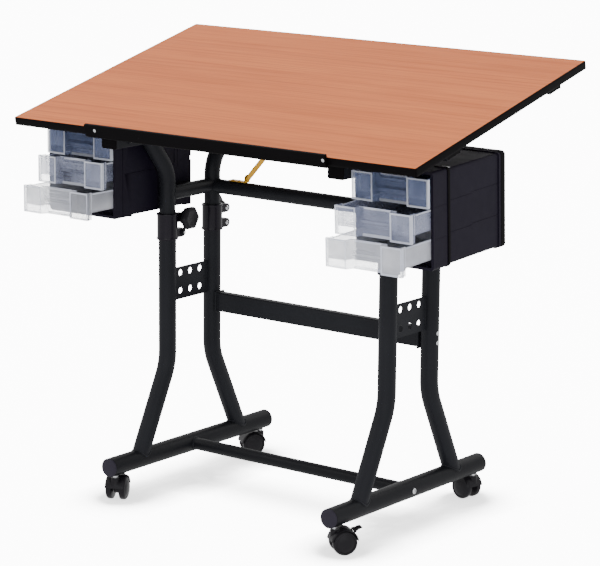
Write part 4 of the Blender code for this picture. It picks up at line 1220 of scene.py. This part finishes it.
# ---- drawers --------------------------------------------------------------------
class Drawer:
    """A drawer as it would be untilted and shut, with X measured from its middle."""

    def __init__(self, case, level):
        self.middle = case.sx * (case.inner + case.outer) / 2
        width = case.outer - case.inner
        self.half, self.body_half = width / 2 - FRONT_INSET_X, width / 2 - BODY_INSET_X
        self.waist = RECESS_HALF - RECESS_TAPER
        self.base = case.bottom + DRAWER_RISE + level * DRAWER_PITCH
        self.top, self.floor = self.base + FRONT_HEIGHT, self.base + BODY_RAISE
        self.face, self.proud = case.front, case.front - FRONT_PROUD
        self.back = self.face + RECESS_DEPTH - FRONT_PROUD
        self.inside = self.back + DRAWER_WALL
        opened = JOINTS["drawer_slide_top_left"]["range_m"][0]
        self.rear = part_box("drawer_top_left")[1].y - opened

    def box(self, first, second):
        return box_bm((self.middle + first[0], *first[1:]), (self.middle + second[0], *second[1:]))

    def blank(self):
        """The front, folded in round its finger recess, with a rimmed body behind it."""
        right = [(self.waist, self.back), (RECESS_HALF, self.proud), (self.half, self.proud),
                 (self.half, self.face - GAP), (self.body_half, self.face - GAP),
                 (self.body_half, self.inside)]
        plan = [(self.middle + x, y) for x, y in right + [(-x, y) for x, y in reversed(right)]]
        front = prism_bm(plan, self.base, self.top, axis="Z")
        body = self.box((-self.body_half, self.inside - 0.001, self.floor),
                        (self.body_half, self.rear, self.top - 0.002))
        rims = [self.box((hand * self.body_half, self.inside + 0.002, self.top - 0.0050),
                         (hand * (self.body_half + 0.0008), self.rear, self.top - 0.0022))
                for hand in HANDS]
        return joined(front, body, *rims)

    def cuts(self):
        """Cutters for the inside, the pockets beside the recess and the sunk panes of the front."""
        wall, above = DRAWER_WALL, self.top + PAST
        half = self.body_half - wall
        cuts = [self.box((-half, self.inside, self.floor + wall), (half, self.rear - wall, above))]
        cuts += [self.box((hand * (RECESS_HALF + wall * 1.5), self.proud + wall, self.floor + wall),
                          (hand * half, self.back + wall * 2, above)) for hand in HANDS]
        frame = 0.0034
        cuts += [self.box((hand * (RECESS_HALF + frame), self.proud - PAST, self.base + 0.0040),
                          (hand * (self.half - frame), self.proud + 0.0007, self.top - frame))
                 for hand in HANDS]
        return cuts

    def trims(self):
        """The finger pull and the sill of the recess, and three ribs above them."""
        back, base, root = self.back, self.base, self.back + DRAWER_WALL / 2
        section = [(back - 0.0060, base + 0.0270), (back - 0.0048, base + 0.0258), (root, base + 0.0250),
                   (root, base + 0.0325), (back - 0.0060, base + 0.0316)]
        reach = self.waist + 0.0035
        pull = prism_bm(section, self.middle - reach, self.middle + reach)
        half = self.waist + 0.002
        sill = self.box((-half, back - 0.0022, base), (half, back + 0.0005, base + 0.0055))
        half = self.waist - 0.002
        rises = [base + FRONT_HEIGHT * share for share in (0.68, 0.79, 0.90)]
        ribs = [self.box((-half, back - 0.0010, z), (half, back + 0.0005, z + 0.0016)) for z in rises]
        return [pull, sill, *ribs]

    # the pull, sill and ribs in the finger recess: kept out of the milkier look so the recess reads darker,
    # which paints its shade
    def in_shaded_recess(self, face):
        low = (self.middle - RECESS_HALF, self.proud + 0.004, self.base + 0.0060)
        high = (self.middle + RECESS_HALF, self.back + 0.0042, self.top - 0.0025)
        return all(a < value < b for a, value, b in zip(low, face.calc_center_median(), high))

    def is_thick(self, face):
        """Rims, ribs and edges: narrow faces, and the raised frame in the plane of the front."""
        narrow = min(edge.calc_length() for edge in face.edges) < 0.0065
        spans = [max(v.co[i] for v in face.verts) - min(v.co[i] for v in face.verts) for i in range(3)]
        width = sorted(spans)[1]
        in_front = abs(face.calc_center_median().y - self.proud) < 0.0002 and face.normal.y < -0.9
        return width < 0.0075 or in_front or (narrow and width < 0.009)


def drawers():
    """Clear trays, milkier on their rims and edges than on their panes. Each level of drawers takes its own
    copy of the plastic, darker and bluer at the top and whiter at the bottom: painted shade and light. The
    pull, sill and ribs in the finger recess keep the clearer, darker look: painted shade in the recess.
    """
    for side in SIDES:
        case = Case(side)
        for name, level in DRAWER_LEVEL.items():
            node = f"drawer_{name}_{side}"
            shape = Drawer(case, level)
            tray = joined(carved(shape.blank(), shape.cuts()), *shape.trims())
            # faces in the finger recess keep the clearer, darker plastic: painted shade in the recess
            marks = [shape.is_thick(face) and not shape.in_shaded_recess(face) for face in tray.faces]
            joint = JOINTS[f"drawer_slide_{name}_{side}"]
            shut = Vector(joint["axis"]).normalized() * -joint["range_m"][0]
            # each level takes its own copy of the plastic, with painted shade and light
            piece(node + "_tray", turned(tray, Matrix.Translation(shut) @ case.turn), STYRENE_WITH_LEVEL_SHADE[name], node,
                  edge=0.0005, angle=40, second=STYRENE_WITH_LEVEL_SHADE["thick"], marks=marks)


# ---- tilting top ----------------------------------------------------------------
def board_frame():
    """The board's tilt, depth and thickness, and the matrix from board coordinates (x, from the
    front edge, above the top face) to the frame's, from its box and the mount on its face."""
    normal = Vector(MOUNTS["work_surface"]["axis"])
    tilt = math.atan2(-normal.y, normal.z)
    low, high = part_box("tabletop")
    height, run = high.z - low.z, high.y - low.y
    c, s = math.cos(tilt), math.sin(tilt)
    depth = (run * c - height * s) / (c * c - s * s)
    thick = (height * c - run * s) / (c * c - s * s)
    matrix = Matrix.Rotation(tilt, 4, "X")
    matrix.translation = (0, low.y, low.z + thick * c)
    return tilt, depth, thick, matrix


TILT, BOARD_DEPTH, BOARD_THICK, BOARD = board_frame()
BOARD_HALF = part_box("tabletop")[1].x
BOARD_UNDER = -BOARD_THICK - GAP


def board_outline(inset, radius):
    return rounded_rect((-BOARD_HALF + inset, inset), (BOARD_HALF - inset, BOARD_DEPTH - inset), radius)


def tabletop():
    outline = board_outline(BOARD_BAND, BOARD_CORNER - BOARD_BAND)
    panel = prism_bm(outline, -BOARD_THICK + 0.0002, -0.0001, axis="Z")
    underside = [face.calc_center_median().z < -BOARD_THICK * 0.9 for face in panel.faces]
    piece("laminate_panel", turned(panel, BOARD), laminate(TILT), "tabletop", slot="laminate",
          edge=0.0002, segments=1, second=backing_sheet(), marks=underside)
    root, shoulder, bulge = BOARD_BAND - 0.0002, 0.0010, 0.00016
    section = [(root, -0.0002), (shoulder, 0.0), (bulge, -0.0010), (0.0, -BOARD_THICK * 0.3),
               (0.0, -BOARD_THICK * 0.7), (bulge, -BOARD_THICK + 0.0010), (shoulder, -BOARD_THICK),
               (root, -BOARD_THICK + 0.0001)]
    rings = [[(*point, z) for point in board_outline(inset, BOARD_CORNER - inset)] for inset, z in section]
    band = bmesh.new()
    skin(band, rings, closed=True)
    piece("edge_band", turned(band, BOARD), EDGE_BLACK, body="top", crisp=False)


def pencil_ledge():
    """The stop strip along the front edge, its outer edges rounded, with a screw near each end."""
    low_z, high_z = LEDGE_Z
    reach, front, r = size_of("pencil_ledge").x / 2, -GAP - LEDGE_THICK, 0.003
    outline = [(-GAP, high_z - 0.001), (-GAP - 0.0015, high_z),
               *arc((front + r, high_z - r), r, QUARTER, 2 * QUARTER, 6),
               *arc((front + r, low_z + r), r, 2 * QUARTER, 3 * QUARTER, 6),
               (-GAP - 0.0015, low_z), (-GAP, low_z + 0.001)]
    seats = [(x, front + 0.0006, LEDGE_SCREW_Z) for x in (-reach + 0.0265, reach - 0.0055)]
    sinks = [rod_bm((x, front - PAST, z), (x, y, z), 0.0050, 28) for x, y, z in seats]
    strip = carved(prism_bm(outline, -reach, reach), sinks)
    piece("stop_strip", turned(strip, BOARD), EDGE_BLACK, "pencil_ledge", edge=0.0012, segments=3, angle=50)
    heads = [pan_head_bm(seat, -ALONG, 0.0034, 0.0005) for seat in seats]
    piece("stop_screws", turned(merged(*heads), BOARD), STEEL, body="top")


def battens():
    """Inverted channels under the board, screwed to it, with a plug in each end."""
    reach, wall, under = size_of("batten_front").x / 2, BATTEN_WALL, BOARD_UNDER
    foot = under - BATTEN_DROP
    for end, (near, far) in BATTEN_ROWS.items():
        bar = box_bm((-reach, near, foot), (reach, far, under))
        hollow = box_bm((-reach - PAST, near + wall, foot - PAST), (reach + PAST, far - wall, under - wall))
        channel = turned(carved(bar, [hollow]), BOARD)
        piece(f"underbar_{end}", channel, POWDER, f"batten_{end}", edge=0.0007, segments=3)
        screws = [pan_head_bm((x, (near + far) / 2, under - wall), -UP, 0.0045, 0.0024)
                  for x in (-reach + 0.03, -reach / 2, 0.0, reach / 2, reach - 0.03)]
        piece(f"underbar_screws_{end}", turned(merged(*screws), BOARD), STEEL, body="top")
        inset = wall + 0.0001
        plugs = [box_bm((sx * (reach - 0.0004), near + inset, foot + 0.0006),
                        (sx * (reach - 0.0120), far - inset, under - inset)) for sx in HANDS]
        piece(f"underbar_plugs_{end}", turned(merged(*plugs), BOARD), EDGE_BLACK, body="top", edge=0.0006)


def hinges():
    """A leaf screwed flat under the board with a cheek that hangs round the tilt pin."""
    pin_place = Vector(JOINTS["top_tilt"]["pos_m"])
    y, z = pin_place.y, pin_place.z
    tilted = about(pin_place, TILT)
    under_z = z - (BOARD.inverted() @ pin_place).z - BOARD_THICK - GAP
    nose = arc((y, z), 0.0085, 2 * QUARTER, 4 * QUARTER, 12)
    cheek_outline = [(y + 0.013, under_z - 0.002), (y - 0.013, under_z - 0.002), *nose]
    for side, sx in SIDES.items():
        node = f"tilt_hinge_{side}"
        inner, outer = sorted((corner.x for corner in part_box(node)), key=abs)
        leaf = box_bm((inner, y - 0.013, under_z - 0.003), (outer, y + 0.013, under_z))
        cheek = prism_bm(cheek_outline, *sorted((inner, inner + sx * 0.003)))
        piece(f"hinge_leaf_{side}", turned(joined(leaf, cheek), tilted), POWDER, node, edge=0.0004)
        pin = rod_bm((inner + sx * 0.001, y, z), (outer - sx * 0.001, y, z), 0.004, 28)
        head = dome_bm((inner + sx * 0.0001, y, z), (-sx, 0, 0), 0.0058, 0.0008)
        piece(f"hinge_pin_{side}", turned(merged(pin, head), tilted), STEEL, body="top")


# ---- knee stay ------------------------------------------------------------------
def bar_outline(start, end, radius, count):
    """A straight bar with round ends, in Y and Z."""
    angle = math.atan2(end[1] - start[1], end[0] - start[0])
    return [*arc(end, radius, angle - QUARTER, angle + QUARTER, count),
            *arc(start, radius, angle + QUARTER, angle + 3 * QUARTER, count)]


def arm_bm(start, end, x_low, x_high, holes):
    bar = prism_bm(bar_outline(start, end, STAY_HALF_WIDTH, 14), x_low, x_high)
    return carved(bar, [rod_bm((x_low - PAST, *place), (x_high + PAST, *place), r, 32) for place, r in holes])


def stiffener_bm(start, end, x):
    """A shallow rib along the middle of an arm."""
    near, far = [[a + (b - a) * share for a, b in zip(start, end)] for share in (0.22, 0.78)]
    return prism_bm(bar_outline(near, far, 0.0022, 8), x - 0.0004, x + 0.0010)


def rivet_bm(place, x_low, x_high, head=0.0048):
    """A pin along X with a low domed head at each end, each clear of its plate by a hair."""
    height, lift, length = 0.0008, 0.0002, x_high - x_low
    dome = [(lift, STAY_PIN_R), (lift, head), (height * 0.5, head * 0.85), (height * 0.9, head * 0.5),
            (height, 0)]
    profile = [(-rise, r) for rise, r in reversed(dome)] + [(length + rise, r) for rise, r in dome]
    return lathe_bm(profile, (x_low, *place), ACROSS, 32)


def stay():
    foot, elbow = [tuple(JOINTS[f"stay_{name}_pivot"]["pos_m"][1:]) for name in ("foot", "elbow")]
    top = tuple((BOARD @ Vector((0, *STAY_TOP))).yz)
    lower_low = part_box("stay_lower_arm")[0].x
    lower_high = lower_low + STAY_THICK
    upper_low, upper_high = [corner.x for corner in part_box("stay_upper_arm")]

    lower = arm_bm(foot, elbow, lower_low, lower_high, [(foot, STAY_HOLE_R)])
    lower = joined(lower, stiffener_bm(foot, elbow, lower_low - 0.0001))
    piece("stay_lower_link", lower, ZINC, "stay_lower_arm", edge=0.0004)
    rivet = rivet_bm(elbow, lower_low, upper_high)
    piece("stay_elbow_rivet", rivet, STEEL, body="stay_lower", slot="yellow_zinc")
    upper = arm_bm(elbow, top, upper_low, upper_high, [(elbow, STAY_HOLE_R), (top, STAY_END_HOLE_R)])
    piece("stay_upper_link", upper, ZINC, "stay_upper_arm", edge=0.0004)
    stay_base(foot, lower_low - STAY_GAP, lower_high)
    stay_bracket(upper_low, upper_high + STAY_GAP)


def stay_base(foot, plate_high, arm_high):
    """A pad screwed to the frame, with an ear that holds the lower arm's rivet."""
    low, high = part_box("stay_foot")
    plate_low, pad_top = plate_high - STAY_THICK, low.z + 0.002
    pad = box_bm(low, (high.x - STAY_THICK - STAY_GAP, high.y, pad_top))
    outline = [(foot[0] + 0.008, low.z + 0.001), *arc(foot, STAY_EAR_R, 0, 2 * QUARTER, 12),
               (foot[0] - 0.008, low.z + 0.001)]
    piece("stay_base", joined(pad, prism_bm(outline, plate_low, plate_high)), ZINC, "stay_foot", edge=0.0004)
    screws = [pan_head_bm((low.x + x, foot[0], pad_top), UP, 0.0036, 0.0018) for x in (0.007, 0.024)]
    rivet = rivet_bm(foot, plate_low, arm_high)
    piece("stay_base_rivet", merged(rivet, *screws), ZINC, body="upper_frame")


def stay_bracket(arm_low, plate_low):
    """A bracket under the board, with a tongue that holds the upper arm's rivet."""
    y, under, plate_high = STAY_TOP[0], BOARD_UNDER, plate_low + STAY_THICK
    flat = box_bm((plate_low, y - 0.010, under - 0.002), (plate_low + 0.0225, y + 0.010, under))
    outline = [(y + 0.010, under - 0.001), (y - 0.010, under - 0.001),
               *arc(STAY_TOP, STAY_EAR_R, 2 * QUARTER, 4 * QUARTER, 12)]
    bracket = turned(joined(flat, prism_bm(outline, plate_low, plate_high)), BOARD)
    piece("stay_board_bracket", bracket, ZINC, "stay_top_bracket", edge=0.0004)
    rivet = turned(rivet_bm(STAY_TOP, arm_low, plate_high, head=0.0052), BOARD)
    piece("stay_board_rivet", rivet, STEEL, body="top", slot="yellow_zinc")


camera()
floor()
studio()
BASE_BEADS, FRAME_BEADS = [], []
floor_tubes()
lower_uprights(BASE_BEADS)
web_plates()
collars()
knobs()
stretcher()
floor_stretcher(BASE_BEADS)
welds("base_welds", BASE_BEADS, "base")
casters()
upper_uprights(FRAME_BEADS)
upper_bars(FRAME_BEADS)
welds("frame_welds", FRAME_BEADS, "upper_frame")
side_rails()
housings()
drawers()
tabletop()
pencil_ledge()
battens()
hinges()
stay()
